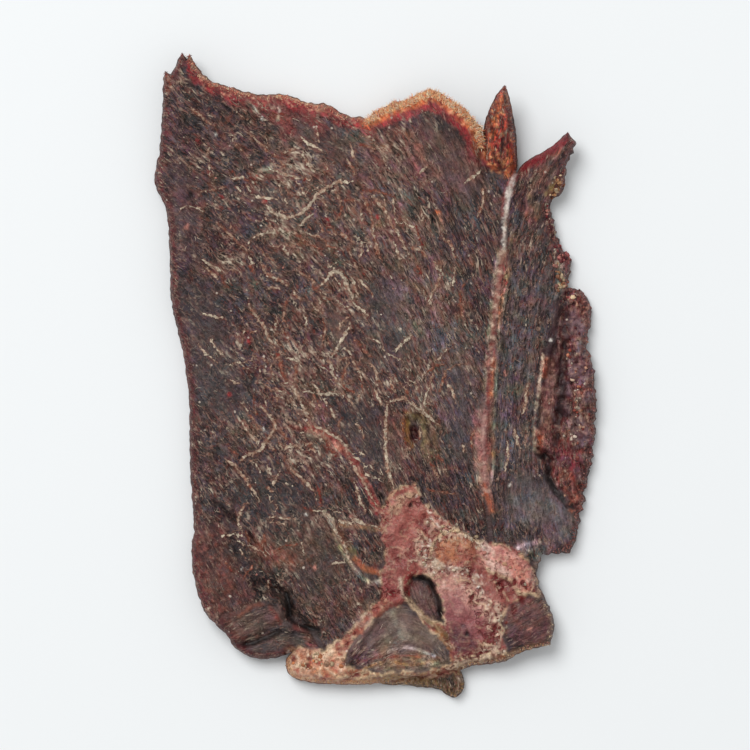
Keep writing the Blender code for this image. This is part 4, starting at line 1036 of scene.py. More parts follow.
def cloud(places, size, layer, octaves=3):
    """Noise with finer noise on it. The size of its swells is one for both ways, or a pair."""
    x, y = (places / size).T
    total = np.zeros(len(x))
    for octave in range(octaves):
        total += ripple(x * 2.0**octave, y * 2.0**octave, layer + octave) / 2.0**octave
    return total


def swells(name, points, fibres=None):
    """Noise by its name, over the points or along their places on the fibres."""
    strength, size, layer, octaves = SWELLS[name]
    return strength * cloud(fibres if isinstance(size, tuple) else points, size, layer, octaves)


def veined(places, size, layer):
    """Noise with sharp winding ridges: near 1 on the ridges and low between them."""
    x, y = (places / size).T
    bend_x = x + 0.35 * ripple(x * 0.9, y * 0.9, layer + 7)
    bend_y = y + 0.35 * ripple(x * 0.9, y * 0.9, layer + 8)
    return np.maximum(0.0, 1.0 - np.abs(ripple(bend_x, bend_y, layer)))


def grains(x, y, layer):
    """For cells about one unit wide: how far each point is from its cell's edge, and a number
    for its cell."""
    i = np.floor(x)
    j = np.floor(y)
    first = np.full(len(x), 9.0)
    second = np.full(len(x), 9.0)
    number = np.zeros(len(x))
    for di in (-1, 0, 1):
        for dj in (-1, 0, 1):
            mid_x = i + di + scramble(i + di, j + dj, layer)
            mid_y = j + dj + scramble(i + di, j + dj, layer + 1)
            away = np.hypot(x - mid_x, y - mid_y)
            closer = away < first
            second = np.where(closer, first, np.minimum(second, away))
            number = np.where(closer, scramble(i + di, j + dj, layer + 2), number)
            first = np.where(closer, away, first)
    return second - first, number


def broad_noise(points, width, layer):
    """The broad noise that the solid has."""
    return np.array([noise.noise(Vector((x / width, y / width, layer))) for x, y in points])


# Outline and distances

def smooth_run(points, step):
    """A smooth curve through the points, sampled about every step, without its end."""
    knots = np.array(points, dtype=float)
    gaps = np.linalg.norm(np.diff(knots, axis=0), axis=1)
    tangents = np.gradient(knots, np.concatenate(([0.0], np.cumsum(gaps))), axis=0)
    run = []
    for i, gap in enumerate(gaps):
        for t in np.linspace(0.0, 1.0, max(1, round(gap / step)), endpoint=False):
            run.append((2 * t**3 - 3 * t**2 + 1) * knots[i]
                       + (t**3 - 2 * t**2 + t) * gap * tangents[i]
                       + (3 * t**2 - 2 * t**3) * knots[i + 1]
                       + (t**3 - t**2) * gap * tangents[i + 1])
    return run


outline_knots = np.array([point for run in OUTLINE for point in run[3]], dtype=float)
photo_middle = (outline_knots.min(axis=0) + outline_knots.max(axis=0)) / 2.0
slice_low, slice_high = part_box("jerky_slice")
slice_length = (slice_high.y - slice_low.y) / METRE - 2.0 * RIM_BULGE
pixel = slice_length / PHOTO_LENGTH


def place(points):
    """Points of the photograph as places on the slice, in millimetres."""
    return (np.array(points, dtype=float) - photo_middle) * (pixel, -pixel)


def curve(points, step=CURVE_STEP):
    """A smooth curve through points of the photograph, in millimetres, with its end."""
    knots = place(points)
    if len(knots) < 3:
        return knots
    return np.array(smooth_run(knots, step) + [knots[-1]])


def flat_tree(points):
    """The points in a tree that finds the nearest one."""
    tree = KDTree(len(points))
    for index, (x, y) in enumerate(points):
        tree.insert((x, y, 0.0), index)
    tree.balance()
    return tree


def near_line(points, line, reach):
    """The numbers of the points that may be within reach of a line."""
    low = line.min(axis=0) - reach
    high = line.max(axis=0) + reach
    return np.flatnonzero(np.all((points > low) & (points < high), axis=1))


def side_distance(points, starts, ends):
    """Distance from each point to the nearest of a few sides, how far along them it is, how
    far to the left of that side, and how long the sides are in all."""
    best = np.full(len(points), 1e9)
    reached = np.zeros(len(points))
    leftward = np.zeros(len(points))
    passed = 0.0
    for start, end in zip(starts, ends):
        along = end - start
        length = math.hypot(*along)
        offset = points - start
        share = np.clip(offset @ along / max(length**2, 1e-12), 0.0, 1.0)
        away = np.hypot(offset[:, 0] - share * along[0], offset[:, 1] - share * along[1])
        left = (along[0] * offset[:, 1] - along[1] * offset[:, 0]) / max(length, 1e-6)
        closer = away < best
        best = np.where(closer, away, best)
        reached = np.where(closer, passed + share * length, reached)
        leftward = np.where(closer, left, leftward)
        passed += length
    return best, reached, leftward, passed


def line_distance(points, knots, reach):
    """Distance to a line, for the points that may be within reach of it."""
    best = np.full(len(points), 1e9)
    near = near_line(points, knots, reach)
    best[near] = side_distance(points[near], knots[:-1], knots[1:])[0]
    return best


def inside_distance(points, knots):
    """Distance to a closed outline, above zero inside it and below zero outside."""
    ends = np.roll(knots, -1, axis=0)
    away = side_distance(points, knots, ends)[0]
    inside = np.zeros(len(points), dtype=bool)
    x, y = points.T
    for (ax, ay), (bx, by) in zip(knots, ends):
        if ay != by:
            spans = (ay > y) != (by > y)
            inside ^= spans & (x < ax + (y - ay) * (bx - ax) / (by - ay))
    return np.where(inside, away, -away)


def vein_offset(points, line, half):
    """For the points near a vein: their numbers, how far they are to the left of its middle
    line, and how wide its half is there, which falls below zero away from it."""
    near = near_line(points, line, half + VEIN_MARGIN)
    away, reached, offset, length = side_distance(points[near], line[:-1], line[1:])
    to_end = np.minimum(reached, length - reached)
    taper = VEIN_TIP + (1.0 - VEIN_TIP) * ease(to_end / min(0.3 * length, VEIN_TAPER))
    spare = half * taper - (away - np.abs(offset)) - 0.7 * np.maximum(away - 0.8, 0.0)
    return near, offset, spare


def strands():
    """Short thin veins, laid at random where the lean is marbled, mostly along the fibres."""
    pick = np.random.default_rng(STRAND_SEED)
    made = []
    for middle, radius, count in MARBLING:
        starts = place(middle) + pick.normal(0.0, STRAND_SCATTER, (count, 2)) * radius * pixel
        turns = grain_angle(starts, MUSCLES[0][3])
        for start, turn in zip(starts, turns):
            length = pick.uniform(*STRAND_LENGTH) * pick.uniform(0.5, 1.0)
            heading = turn + math.pi + pick.normal(0.0, STRAND_SPREAD)
            bend = pick.normal(0.0, STRAND_BEND)
            line = [start]
            for _ in range(max(2, round(length / STRAND_STEP))):
                heading += bend + pick.normal(0.0, STRAND_WANDER)
                line.append(line[-1] + STRAND_STEP * np.array((math.cos(heading), math.sin(heading))))
            made.append((pick.beta(*STRAND_HUES), pick.uniform(*STRAND_HALF), np.array(line)))
    return made


def level(values, reach):
    """Values along a ring with their steps smoothed out."""
    return sum(np.roll(values, shift) for shift in range(-reach, reach + 1)) / (2 * reach + 1)


class Ring:
    """The slice's outline in millimetres, with what is known at each of its points."""

    def __init__(self):
        runs = [smooth_run(place(knots), RIM_STEP) for _, _, _, knots in OUTLINE]
        counts = [len(run) for run in runs]
        self.runs = np.repeat(np.arange(len(runs)), counts)
        self.rims = level(np.repeat([rim for _, rim, _, _ in OUTLINE], counts), THICKNESS_BLEND)
        ragged = level(np.repeat([rough for _, _, rough, _ in OUTLINE], counts), RAGGED_BLEND)
        plain = np.concatenate(runs)
        along = np.roll(plain, -1, axis=0) - np.roll(plain, 1, axis=0)
        along /= np.linalg.norm(along, axis=1)[:, None]
        self.outward = np.stack((-along[:, 1], along[:, 0]), axis=1)
        self.passed = np.cumsum(np.linalg.norm(plain - np.roll(plain, 1, axis=0), axis=1))
        corners = np.array([run[0] for run in runs])
        to_corner = np.linalg.norm(plain[:, None] - corners[None], axis=2).min(axis=1)
        self.free = ease(to_corner / CORNER_REACH)
        flat = np.zeros(len(plain))
        fray = ripple(self.passed / 1.4, flat, 3) + 0.6 * ripple(self.passed / 0.7, flat, 4)
        self.points = plain + self.outward * (ragged * self.free * fray)[:, None]
        self.tree = flat_tree(self.points)

    def named(self, names):
        """Which points of the ring belong to the runs of these names."""
        return np.isin(self.runs, [RUN_NAMES.index(name) for name in names])

    def nearest(self, points):
        """Distance from each point to the ring, and which of its points is the nearest."""
        index = np.array([self.tree.find((x, y, 0.0))[1] for x, y in points])
        away = np.full(len(points), 1e9)
        for step in (-1, 0):
            start = self.points[(index + step) % len(self.points)]
            along = self.points[(index + step + 1) % len(self.points)] - start
            offset = points - start
            share = np.clip((offset * along).sum(axis=1) / (along**2).sum(axis=1), 0.0, 1.0)
            gap = offset - share[:, None] * along
            away = np.minimum(away, np.hypot(gap[:, 0], gap[:, 1]))
        return away, index

    def lattice(self, step):
        """Points of a triangular lattice that lie inside the ring and clear of it."""
        low = self.points.min(axis=0)
        high = self.points.max(axis=0)
        ends = np.roll(self.points, -1, axis=0)
        row_gap = step * 0.75**0.5
        points = []
        for row in range(int((high[1] - low[1]) / row_gap) + 1):
            y = low[1] + (row + 0.37) * row_gap
            spans = (self.points[:, 1] > y) != (ends[:, 1] > y)
            a = self.points[spans]
            b = ends[spans]
            share = (y - a[:, 1]) / (b[:, 1] - a[:, 1])
            crossings = np.sort(a[:, 0] + share * (b[:, 0] - a[:, 0]))
            shift = 0.5 * (row % 2)
            for left, right in zip(crossings[::2], crossings[1::2]):
                columns = range(math.ceil(left / step - shift), math.floor(right / step - shift) + 1)
                points.extend(((column + shift) * step, y) for column in columns)
        points = np.array(points)
        away, _ = self.nearest(points)
        return points[away > RIM_CLEARANCE * step]

    def filled(self, step):
        """The ring and a lattice inside it: the points, how far each is from the edge, and
        which point of the ring is the nearest."""
        count = len(self.points)
        flat = np.concatenate((self.points, self.lattice(step)))
        away, nearest = self.nearest(flat)
        away[:count] = 0.0
        nearest[:count] = np.arange(count)
        return flat, away, nearest


# The run of the fibres

def grain_angle(points, marks):
    """Which way the fibres run at each point, in radians anticlockwise from X."""
    total_x = np.zeros(len(points))
    total_y = np.zeros(len(points))
    first = marks[0][1]
    for spot, fall in marks:
        weight = 1.0 / (((points - place(spot)) ** 2).sum(axis=1) + GRAIN_BLEND**2) ** 2
        total_x += weight * math.cos(math.radians(2.0 * (first - fall)))
        total_y += weight * math.sin(math.radians(2.0 * (first - fall)))
    return 0.5 * np.arctan2(total_y, total_x) - math.radians(first)


def powers(points, degree):
    """Each product of powers of x and y up to the degree, and its slopes."""
    x, y = points.T / slice_length
    terms = []
    slopes_x = []
    slopes_y = []
    for i in range(degree + 1):
        for j in range(degree + 1 - i):
            if i + j > 0:
                terms.append(x**i * y**j)
                slopes_x.append(i * x ** max(i - 1, 0) * y**j / slice_length)
                slopes_y.append(j * x**i * y ** max(j - 1, 0) / slice_length)
    return np.array(terms).T, np.array(slopes_x).T, np.array(slopes_y).T


def fibre_places(points, marks, degree):
    """Where each point is along the fibres and across them, in millimetres.

    Both are the smooth curves that follow the fibres best: along rises along the run of
    the fibres and stays level across it, and across does the opposite.
    """
    sample = points[:: max(1, len(points) // FIBRE_SAMPLES)]
    turn = grain_angle(sample, marks)
    _, slope_x, slope_y = powers(sample, degree)
    along_run = slope_x * np.cos(turn)[:, None] + slope_y * np.sin(turn)[:, None]
    along_side = slope_y * np.cos(turn)[:, None] - slope_x * np.sin(turn)[:, None]
    terms, _, _ = powers(points, degree)
    places = []
    for rising, steady in ((along_run, along_side), (along_side, along_run)):
        rows = np.concatenate((steady, SPREAD_WEIGHT * rising))
        wanted = np.concatenate((np.zeros(len(sample)), np.full(len(sample), SPREAD_WEIGHT)))
        places.append(terms @ np.linalg.lstsq(rows, wanted, rcond=None)[0])
    return np.stack(places, axis=1)


def muscle_fibres(points):
    """For each point: which muscle it is in, and its place along and across the fibres."""
    muscle = np.zeros(len(points), dtype=int)
    for index, (_, _, edge, _) in enumerate(MUSCLES):
        if edge:
            muscle[inside_distance(points, place(edge)) > 0.0] = index
    fibres = np.zeros((len(points), 2))
    for index, (_, degree, _, marks) in enumerate(MUSCLES):
        chosen = np.flatnonzero(muscle == index)
        if len(chosen):
            fibres[chosen] = fibre_places(points[chosen], marks, degree) + MUSCLE_GAP * index
    fibres[:, 1] += swells("fibre sway", points, fibres) + swells("fibre shake", points, fibres)
    return muscle, fibres


# The slice's form

def slice_heights(points, away, rims):
    """The heights of the underside and of the top, as the solid has them."""
    curl = np.zeros(len(points))
    for _, height, reach, middle in CURLS:
        distance = np.linalg.norm(points - place(middle), axis=1)
        curl += height * ease(1.0 - distance / reach) ** CURL_POWER
    off_rest = ease(np.linalg.norm(points, axis=1) / REST_SPOT_RADIUS - 1.0)
    swell = ease(UNDERSIDE_SHARE * broad_noise(points, UNDERSIDE_SWELL, UNDERSIDE_NOISE))
    under = curl + UNDERSIDE_RISE * ease(away / SHOULDER_WIDTH) * off_rest * swell
    full = LEAN_THICKNESS + THICKNESS_SWING * broad_noise(points, THICKNESS_SWELL, THICKNESS_NOISE)
    round_share = np.sqrt(1.0 - (1.0 - np.clip(away / SHOULDER_WIDTH, 0.0, 1.0)) ** 2)
    top = curl + rims + (full - rims) * round_share
    turn = ease(0.5 + points[:, 0] / GRAIN_TURN_WIDTH)
    tilt = GRAIN_TILT_LEFT + (GRAIN_TILT_RIGHT - GRAIN_TILT_LEFT) * turn
    along = points[:, 0] * np.cos(tilt) + points[:, 1] * np.sin(tilt)
    across = points[:, 1] * np.cos(tilt) - points[:, 0] * np.sin(tilt)
    swells = np.stack((along / GRAIN_LENGTH, across / GRAIN_WIDTH), axis=1)
    relief = GRAIN_HEIGHT * broad_noise(swells, 1.0, GRAIN_NOISE)
    for _, height, half_width, knots in LINES:
        distance = line_distance(points, place(knots), 3.0 * half_width)
        relief += height * np.exp(-((distance / half_width) ** 2))
    crags = CRAG_HEIGHT * broad_noise(points, CRAG_WIDTH, CRAG_NOISE)
    for name, (height, shoulder, knots) in PATCHES.items():
        share = ease(0.5 + inside_distance(points, place(knots)) / shoulder)
        relief += share * (height + crags if name in CRAGGY_PATCHES else height)
    top = top + relief * ease(away / RELIEF_SHOULDER)
    return under, np.maximum(top, under + LEAST_THICKNESS * rims)


def tinted_lean(points, tints):
    """The colour of the lean, with broad tints."""
    tone = np.tile(linear(LEAN), (len(points), 1))
    for colour, size, layer, low, high, strength in tints:
        tone = blend(tone, linear(colour), strength * fade(cloud(points, size, layer), low, high))
    return tone


class Skin:
    """The look of a set of points on the top: how far it stands up, and its colours."""

    def __init__(self, points, away, nearest, ring):
        self.points = points
        self.away = away
        self.nearest = nearest
        self.ring = ring
        self.muscle, self.fibres = muscle_fibres(points)
        self.height = np.zeros(len(points))
        self.find_fat()
        self.find_veins()
        self.find_calm()
        self.find_marbling()
        self.tint_lean()
        self.set_flecks()
        self.raise_fibres()
        self.tear_flank()
        self.stroke(STROKES)
        self.mottle()
        self.lay_fat()
        self.hem_fat()
        self.paint_rim()
        self.crust(CRUSTS)
        self.paint_dots()

    def swells(self, name):
        """Noise by its name, at each of the points."""
        return swells(name, self.points, self.fibres)

    def cover(self, colour, share):
        """Lays a colour over the points, by a share for each."""
        self.tone = blend(self.tone, linear(colour), share)

    def find_fat(self):
        """Where the fat is, and the torn flank."""
        purple = [edge for name, _, edge, _ in MUSCLES if name == "purple patch"][0]
        edge = inside_distance(self.points, place(FAT_EDGE))
        for gap in (*FAT_GAPS.values(), purple):
            edge = np.minimum(edge, -inside_distance(self.points, place(gap)))
        self.fat_edge = edge + self.swells("fat edge")
        self.fat = fade(self.fat_edge, -0.15, 0.25)
        flank = inside_distance(self.points, place(PATCHES["torn flank"][2]))
        self.torn = fade(flank + self.swells("flank edge"), -0.3, 0.6)

    def find_veins(self):
        """How far each point is inside a vein, and how red that vein is."""
        self.vein, self.vein_half, self.vein_hue = np.tile(NO_VEIN, (len(self.points), 1)).T.copy()
        shake_x = self.swells("vein sway x") + self.swells("vein shake x")
        shake_y = self.swells("vein sway y") + self.swells("vein shake y")
        shaken = self.points + np.stack((shake_x, shake_y), axis=1)
        veins = [(hue, half_width * pixel, curve(knots, VEIN_STEP))
                 for hue, half_width, knots in VEINS]
        for hue, half, line in veins + strands():
            near, offset, spare = vein_offset(shaken, line, half)
            closer = spare > self.vein_half[near]
            near = near[closer]
            self.vein[near] = offset[closer]
            self.vein_half[near] = spare[closer]
            self.vein_hue[near] = hue

    def find_calm(self):
        """Where the flecks and the web fade out, as they do where two muscles meet."""
        self.calm = np.zeros(len(self.points))
        for half_width, soft, strength, knots in CALM:
            distance = line_distance(self.points, curve(knots), 2.0 * (half_width + soft) * pixel)
            cover = 1.0 - fade(distance / pixel, half_width - 0.5 * soft, half_width + soft)
            self.calm = np.maximum(self.calm, strength * cover)
        for _, _, edge, _ in MUSCLES[1:]:
            distance = line_distance(self.points, place(edge + edge[:1]), 1.0)
            self.calm = np.maximum(self.calm, 1.0 - fade(distance, 0.35, 0.75))
        self.uneven = 1.0 - 0.85 * self.calm

    def find_marbling(self):
        """How marbled the lean is."""
        self.marbled = np.zeros(len(self.points))
        for middle, radius, count in MARBLING:
            away = np.linalg.norm(self.points - place(middle), axis=1) / (radius * pixel)
            strength = min(1.0, count / 24.0)
            self.marbled = np.maximum(self.marbled, strength * (1.0 - fade(away, 0.4, 1.3)))

    def tint_lean(self):
        """Grey-brown lean, uneven in broad patches and from bundle to bundle, with painted shade in the
        grooves where the bundles meet.
        """
        along, across = self.fibres.T
        self.bundle_edge, number = grains(along / 6.0, across / 2.2, 41)
        self.tone = tinted_lean(self.points, LEAN_TINTS)
        self.cover(BROWN_LEAN, 0.45 * self.marbled)
        self.cover(RED_LEAN, 0.5 * fade(self.swells("lean red"), 0.1, 0.9))
        shade = 0.80 + 0.40 * number
        # painted shade: darker at the edges of the bundles, where the top sinks between them
        shade *= 1.0 - 0.30 * (1.0 - fade(self.bundle_edge, 0.0, 0.14))
        shade *= 1.0 + self.swells("lean streaks")
        shade *= 1.0 + self.swells("lean patches")
        self.tone = self.tone * shade[:, None]

    def set_flecks(self):
        """How many pale, red and dark flecks the material puts in each place."""
        y = self.points[:, 1]
        window = self.muscle == MUSCLE_NAMES.index("window")
        right = self.muscle == MUSCLE_NAMES.index("right strip")
        high, low = place(RIGHT_STRIP_FADE)[:, 1]
        strip = right * fade(-y, -high, -low)
        self.pale = self.swells("pale flecks") + 0.060 * self.marbled - 0.028
        self.pale += 0.03 * window - 0.030 * strip - 0.010 * right
        self.red = self.swells("red flecks") - 0.03 * strip
        self.dark = self.swells("dark flecks") - 0.01 * self.marbled
        self.dark -= 0.03 * window + 0.02 * right

    def raise_fibres(self):
        """Bundles of fibre that stand up a little, and finer ridges on them."""
        lift = 0.20 * fade(self.bundle_edge, 0.0, 0.25)
        lift += self.swells("fibre ridges")
        lift += self.swells("fine ridges")
        lift += self.swells("humps")
        lift += 0.10 * fade(self.vein_half - np.abs(self.vein), -0.35, 0.1)
        self.height += lift * (1.0 - 0.7 * self.fat)

    def tear_flank(self):
        """Grey and red lumps with dark gaps between them, on the torn flank; the dark of the sunk gaps is
        painted shade.
        """
        x, y = self.points.T
        bend = self.swells("flank bend")
        edge, number = grains((x + bend) / 3.0, (y - bend) / 3.6, 25)
        lump = fade(edge + 0.15 * bend, 0.10, 0.38)
        bits = self.swells("flank bits")
        red = fade(number, 0.5, 0.8)
        self.height += self.torn * (0.65 * lump + (0.30 - 0.2 * lump) * bits)
        rough = np.tile(linear(FLANK_RED), (len(x), 1))
        # painted shade where the bits sink between the lumps
        rough = blend(rough, linear(FLANK_HOLLOW_SHADE), 0.9 * fade(-bits, 0.0, 0.45))
        rough = blend(rough, linear(FLANK_PALE), 0.85 * fade(bits, 0.20, 0.62))
        rough = blend(rough, linear(FLANK_GREY), 0.85 * lump * (1.0 - 0.7 * red))
        rough = blend(rough, linear(FLANK_LUMP), 0.75 * lump * red)
        self.tone = blend(self.tone, rough, 0.92 * self.torn)

    def stroke(self, strokes):
        """Lays strokes of colour over the points, with slightly ragged edges."""
        ragged = self.swells("stroke edge") + self.swells("stroke fibres")
        thin = 0.62 + 0.38 * fade(self.swells("stroke wear"), -0.5, 0.3)
        for _, colour, half_width, soft, strength, lift, knots in strokes:
            half = half_width * pixel
            fuzz = soft * pixel
            distance = line_distance(self.points, curve(knots), 3.0 * (half + fuzz))
            distance = distance + ragged * min(1.2, 0.9 * fuzz + 0.3 * half)
            cover = thin * (1.0 - fade(distance, half - 0.5 * fuzz, half + 0.7 * fuzz))
            self.cover(colour, strength * cover)
            self.height += lift * cover

    def crust(self, patches):
        """Lays crusty patches over the points: pale on the grains and dark in the sunk gaps, the dark
        partly the crust's own colour and partly painted shade.
        """
        for _, half_width, soft, grain, strength, pale, dark, knots in patches:
            distance = line_distance(self.points, curve(knots), (half_width + soft) * pixel)
            near = np.flatnonzero(distance < (half_width + soft) * pixel)
            frayed = distance[near] / pixel + 0.4 * soft * swells("crust edge", self.points[near])
            cover = 1.0 - fade(frayed, half_width - 0.5 * soft, half_width + 0.4 * soft)
            lumps = cloud(self.points[near], grain, 57)
            tone = blend(self.tone[near], linear(pale), strength * cover * fade(lumps, 0.15, 0.8))
            # the dark in the sunk gaps is partly the crust's own colour and partly painted shade
            self.tone[near] = blend(tone, linear(dark), strength * cover * fade(-lumps, 0.15, 0.8))
            self.height[near] += 0.16 * lumps * cover

    def mottle(self):
        """Rusty, straw-coloured and dark places a few millimetres across, over the strokes."""
        rust = self.swells("rust streaks") + self.swells("rust patches")
        straw = self.swells("straw streaks") + self.swells("straw patches")
        deep = self.swells("dark streaks")
        tint = np.outer(self.uneven * rust, RUST_TINT) + np.outer(self.uneven * straw, STRAW_TINT)
        shade = (1.0 + 0.36 * self.uneven * deep)[:, None]
        self.tone = self.tone * np.maximum(0.3, (1.0 + tint) * shade)

    def lay_fat(self):
        """Pink fat: lumps with cream tops and red hollows, and winding cream strands, which are partly
        the fat's own cream and partly painted highlight.
        """
        lean = self.tone
        lean_height = self.height
        self.tone = np.tile(linear(PINK), (len(self.points), 1))
        self.cover(MAUVE, 0.7 * fade(self.swells("fat mauve"), -0.1, 0.7))
        self.height = lean_height.copy()
        self.stroke(FAT_STROKES)
        self.crust(FAT_CRUSTS)
        self.tone *= (1.0 + self.swells("fat grain"))[:, None]
        lump = self.swells("fat lumps")
        self.cover(FAT_RED, 0.80 * self.uneven * fade(-lump, 0.2, 0.95))
        self.cover(PALE_PINK, 0.45 * self.uneven * fade(lump, 0.2, 0.9))
        ridge = fade(veined(self.points, 2.7, 63), 0.86, 0.985)
        ridge = ridge * fade(self.swells("fat ridges"), -0.3, 0.3) * self.uneven
        thread = fade(veined(self.points, 1.3, 66), 0.90, 0.99)
        thread = thread * fade(self.swells("fat threads"), 0.0, 0.5) * self.uneven
        # partly painted highlight: the cream on the raised ridges and threads also stands for the glints
        # of the shiny fat
        self.cover(STRAW, 0.62 * np.maximum(ridge, 0.8 * thread))
        self.height += 0.34 * lump * (1.0 - 0.6 * self.calm) + 0.20 * ridge + 0.10 * thread
        self.tone = blend(lean, self.tone, self.fat)
        self.height = lean_height + (self.height - lean_height) * self.fat

    def hem_fat(self):
        """A pale hem where the fat ends."""
        hem = np.exp(-(((self.fat_edge - 0.15) / 0.26) ** 2)) * fade(self.swells("fat hem"), -0.3, 0.4)
        self.cover(STRAW, 0.75 * hem)
        self.height += 0.14 * hem

    def paint_rim(self):
        """Darker, redder or golden bands along the edge."""
        wander = self.swells("rim wander") + self.swells("rim fray")
        away = self.away + wander * np.minimum(1.0, 0.4 + self.away)
        patchy = 0.75 + 0.25 * fade(self.swells("rim wear"), -0.4, 0.4)
        for names, colour, start, stop, strength in RIM_BANDS:
            share = level(self.ring.named(names).astype(float), BAND_BLEND)[self.nearest]
            inner = fade(away, start - 0.35, start + 0.05) if start > 0.0 else 1.0
            cover = inner * (1.0 - fade(away, stop - 0.3, stop + 0.5))
            self.cover(colour, strength * cover * share * patchy)

    def paint_dots(self):
        """Small holes, crumbs of fat and red spots; the dark nicks and the black and crater holes are
        painted shade.
        """
        uneven = 1.0 + self.swells("dot edge")
        for _, colour, radius, depth, spots in DOTS:
            for spot in spots:
                offset = self.points - place(spot)
                distance = np.hypot(offset[:, 0], offset[:, 1] * 0.85) * uneven
                cover = 1.0 - fade(distance, 0.55 * radius * pixel, 1.25 * radius * pixel)
                self.cover(colour, 0.92 * cover)
                self.height -= depth * cover


# Meshes

class Builder:
    """Collects corners, faces and what each corner carries, and makes them a mesh."""

    def __init__(self):
        self.corners = []
        self.faces = []
        self.layers = {}
        self.count = 0

    def add(self, corners, tone, **layers):
        """Adds corners, in millimetres, with their colours and what else they carry, and
        returns the number of the first."""
        first = self.count
        self.corners.append(np.asarray(corners, dtype=float))
        self.count += len(corners)
        colours = np.column_stack((np.clip(tone, 0.0, 1.0), np.ones(len(tone))))
        for name, values in {"tone": colours, **layers}.items():
            self.layers.setdefault(name, []).append(values)
        return first

    def join(self, upper, lower, count):
        """Adds faces between two rings of corners, the first above the second."""
        for i in range(count):
            j = (i + 1) % count
            self.faces.append((upper + i, upper + j, lower + j, lower + i))

    def make(self, name, material, smooth=True):
        """The piece, in metres."""
        mesh = bpy.data.meshes.new(name)
        mesh.from_pydata((np.concatenate(self.corners) * METRE).tolist(), [], self.faces)
        for layer, parts in self.layers.items():
            kind, field = ("FLOAT_COLOR", "color") if layer == "tone" else ("FLOAT_VECTOR", "vector")
            attribute = mesh.attributes.new(layer, kind, "POINT")
            attribute.data.foreach_set(field, np.concatenate(parts).ravel())
        mesh.materials.append(material)
        if smooth:
            mesh.shade_smooth()
        piece = bpy.data.objects.new(name, mesh)
        bpy.context.scene.collection.objects.link(piece)
        return piece


def cap_triangles(flat, count):
    """Triangles through the points, the first of which are the ring, turned to face up."""
    coordinates = [Vector(point) for point in flat.tolist()]
    result = delaunay_2d_cdt(coordinates, [], [list(range(count))], 1, 1e-7)
    order = np.array([origin[0] for origin in result[3]])
    triangles = order[np.array(result[2])]
    a, b, c = (flat[triangles[:, k]] for k in range(3))
    turn = (b[:, 0] - a[:, 0]) * (c[:, 1] - a[:, 1]) - (b[:, 1] - a[:, 1]) * (c[:, 0] - a[:, 0])
    flipped = turn < 0
    triangles[flipped] = triangles[flipped][:, ::-1]
    return triangles


def add_top(builder, ring):
    """The top: gives back its look, and the heights of the top and the underside there."""
    flat, away, nearest = ring.filled(TOP_STEP)
    skin = Skin(flat, away, nearest, ring)
    under, top = slice_heights(flat, away, ring.rims[nearest])
    raised = top + skin.height * (0.25 + 0.75 * ease(away / DETAIL_SHOULDER))
    over = raised - slice_high.z / METRE + CEILING_FADE
    raised = np.where(over > 0.0, raised - over + SOFT_CEILING * np.tanh(over / SOFT_CEILING), raised)
    top = np.maximum(raised, under + THINNEST)
    builder.add(np.column_stack((flat, top)), skin.tone,
                fleck=np.column_stack((skin.pale, skin.red, skin.dark)),
                marks=np.column_stack((skin.vein, skin.vein_half, skin.vein_hue)),
                kind=np.column_stack((skin.fat, skin.torn, skin.calm)),
                fibre=np.column_stack((skin.fibres, np.zeros(len(flat)))))
    builder.faces += cap_triangles(flat, len(ring.points)).tolist()
    return skin, top, under


def add_wall(builder, ring, tone, top, under):
    """Rings of corners down the torn rim: gives back the number of the last ring's first."""
    count = len(ring.points)
    wall_tone = blend(tone, linear(WALL_BROWN), np.full(count, 0.55))
    previous = 0
    for depth in np.arange(1, WALL_RINGS + 1) / (WALL_RINGS + 1.0):
        layered = ripple(ring.passed / 2.2, np.full(count, depth * 3.1), 91)
        fine = ripple(ring.passed / 0.9, np.full(count, depth * 7.3), 92)
        bulge = RIM_BULGE * math.sin(math.pi * depth) * 0.7 + 0.13 * layered + 0.07 * fine
        moved = ring.points + ring.outward * (bulge * ring.free)[:, None]
        height = top + (under - top) * depth
        run = height * WALL_FIBRE_SCALE + WALL_FIBRE_SHIFT
        first = builder.add(np.column_stack((moved, height)), wall_tone * (0.85 + 0.35 * fine)[:, None],
                            fleck=np.tile((-0.03, 0.03, 0.02), (count, 1)),
                            marks=np.tile(NO_VEIN, (count, 1)), kind=np.zeros((count, 3)),
                            fibre=np.column_stack((ring.passed, run, np.zeros(count))))
        builder.join(previous, first, count)
        previous = first
    return previous


def underside_look(points, away):
    """The underside: the same lean, pressed flat and plainer, with a few veins."""
    fibres = fibre_places(points, MUSCLES[0][3], 4)
    _, number = grains(fibres[:, 0] / 9.0, fibres[:, 1] / 3.0, 141)
    tone = tinted_lean(points, UNDERSIDE_TINTS) * (0.84 + 0.26 * number)[:, None]
    rim = 1.0 - fade(away + swells("under rim", points), 0.2, 1.6)
    tone = blend(tone, linear(DARK_RED), 0.55 * rim)
    fat = fade(inside_distance(points, place(FAT_EDGE)) + swells("under fat", points), -0.8, 1.2)
    tone = blend(tone, linear(MAUVE), 0.7 * fat)
    vein = swells("under veins", points, fibres)
    half = 0.25 * fade(swells("under widths", points), 0.0, 0.3) - 0.1
    hue = np.clip(0.3 + swells("under hues", points), 0.0, 1.0)
    nothing = np.zeros(len(points))
    return tone, {
        "fleck": np.column_stack((swells("under pale", points), swells("under red", points), nothing)),
        "marks": np.column_stack((vein, half, hue)),
        "kind": np.column_stack((0.35 * fat, nothing, nothing)),
        "fibre": np.column_stack((fibres + UNDERSIDE_FIBRE_SHIFT, nothing)),
    }


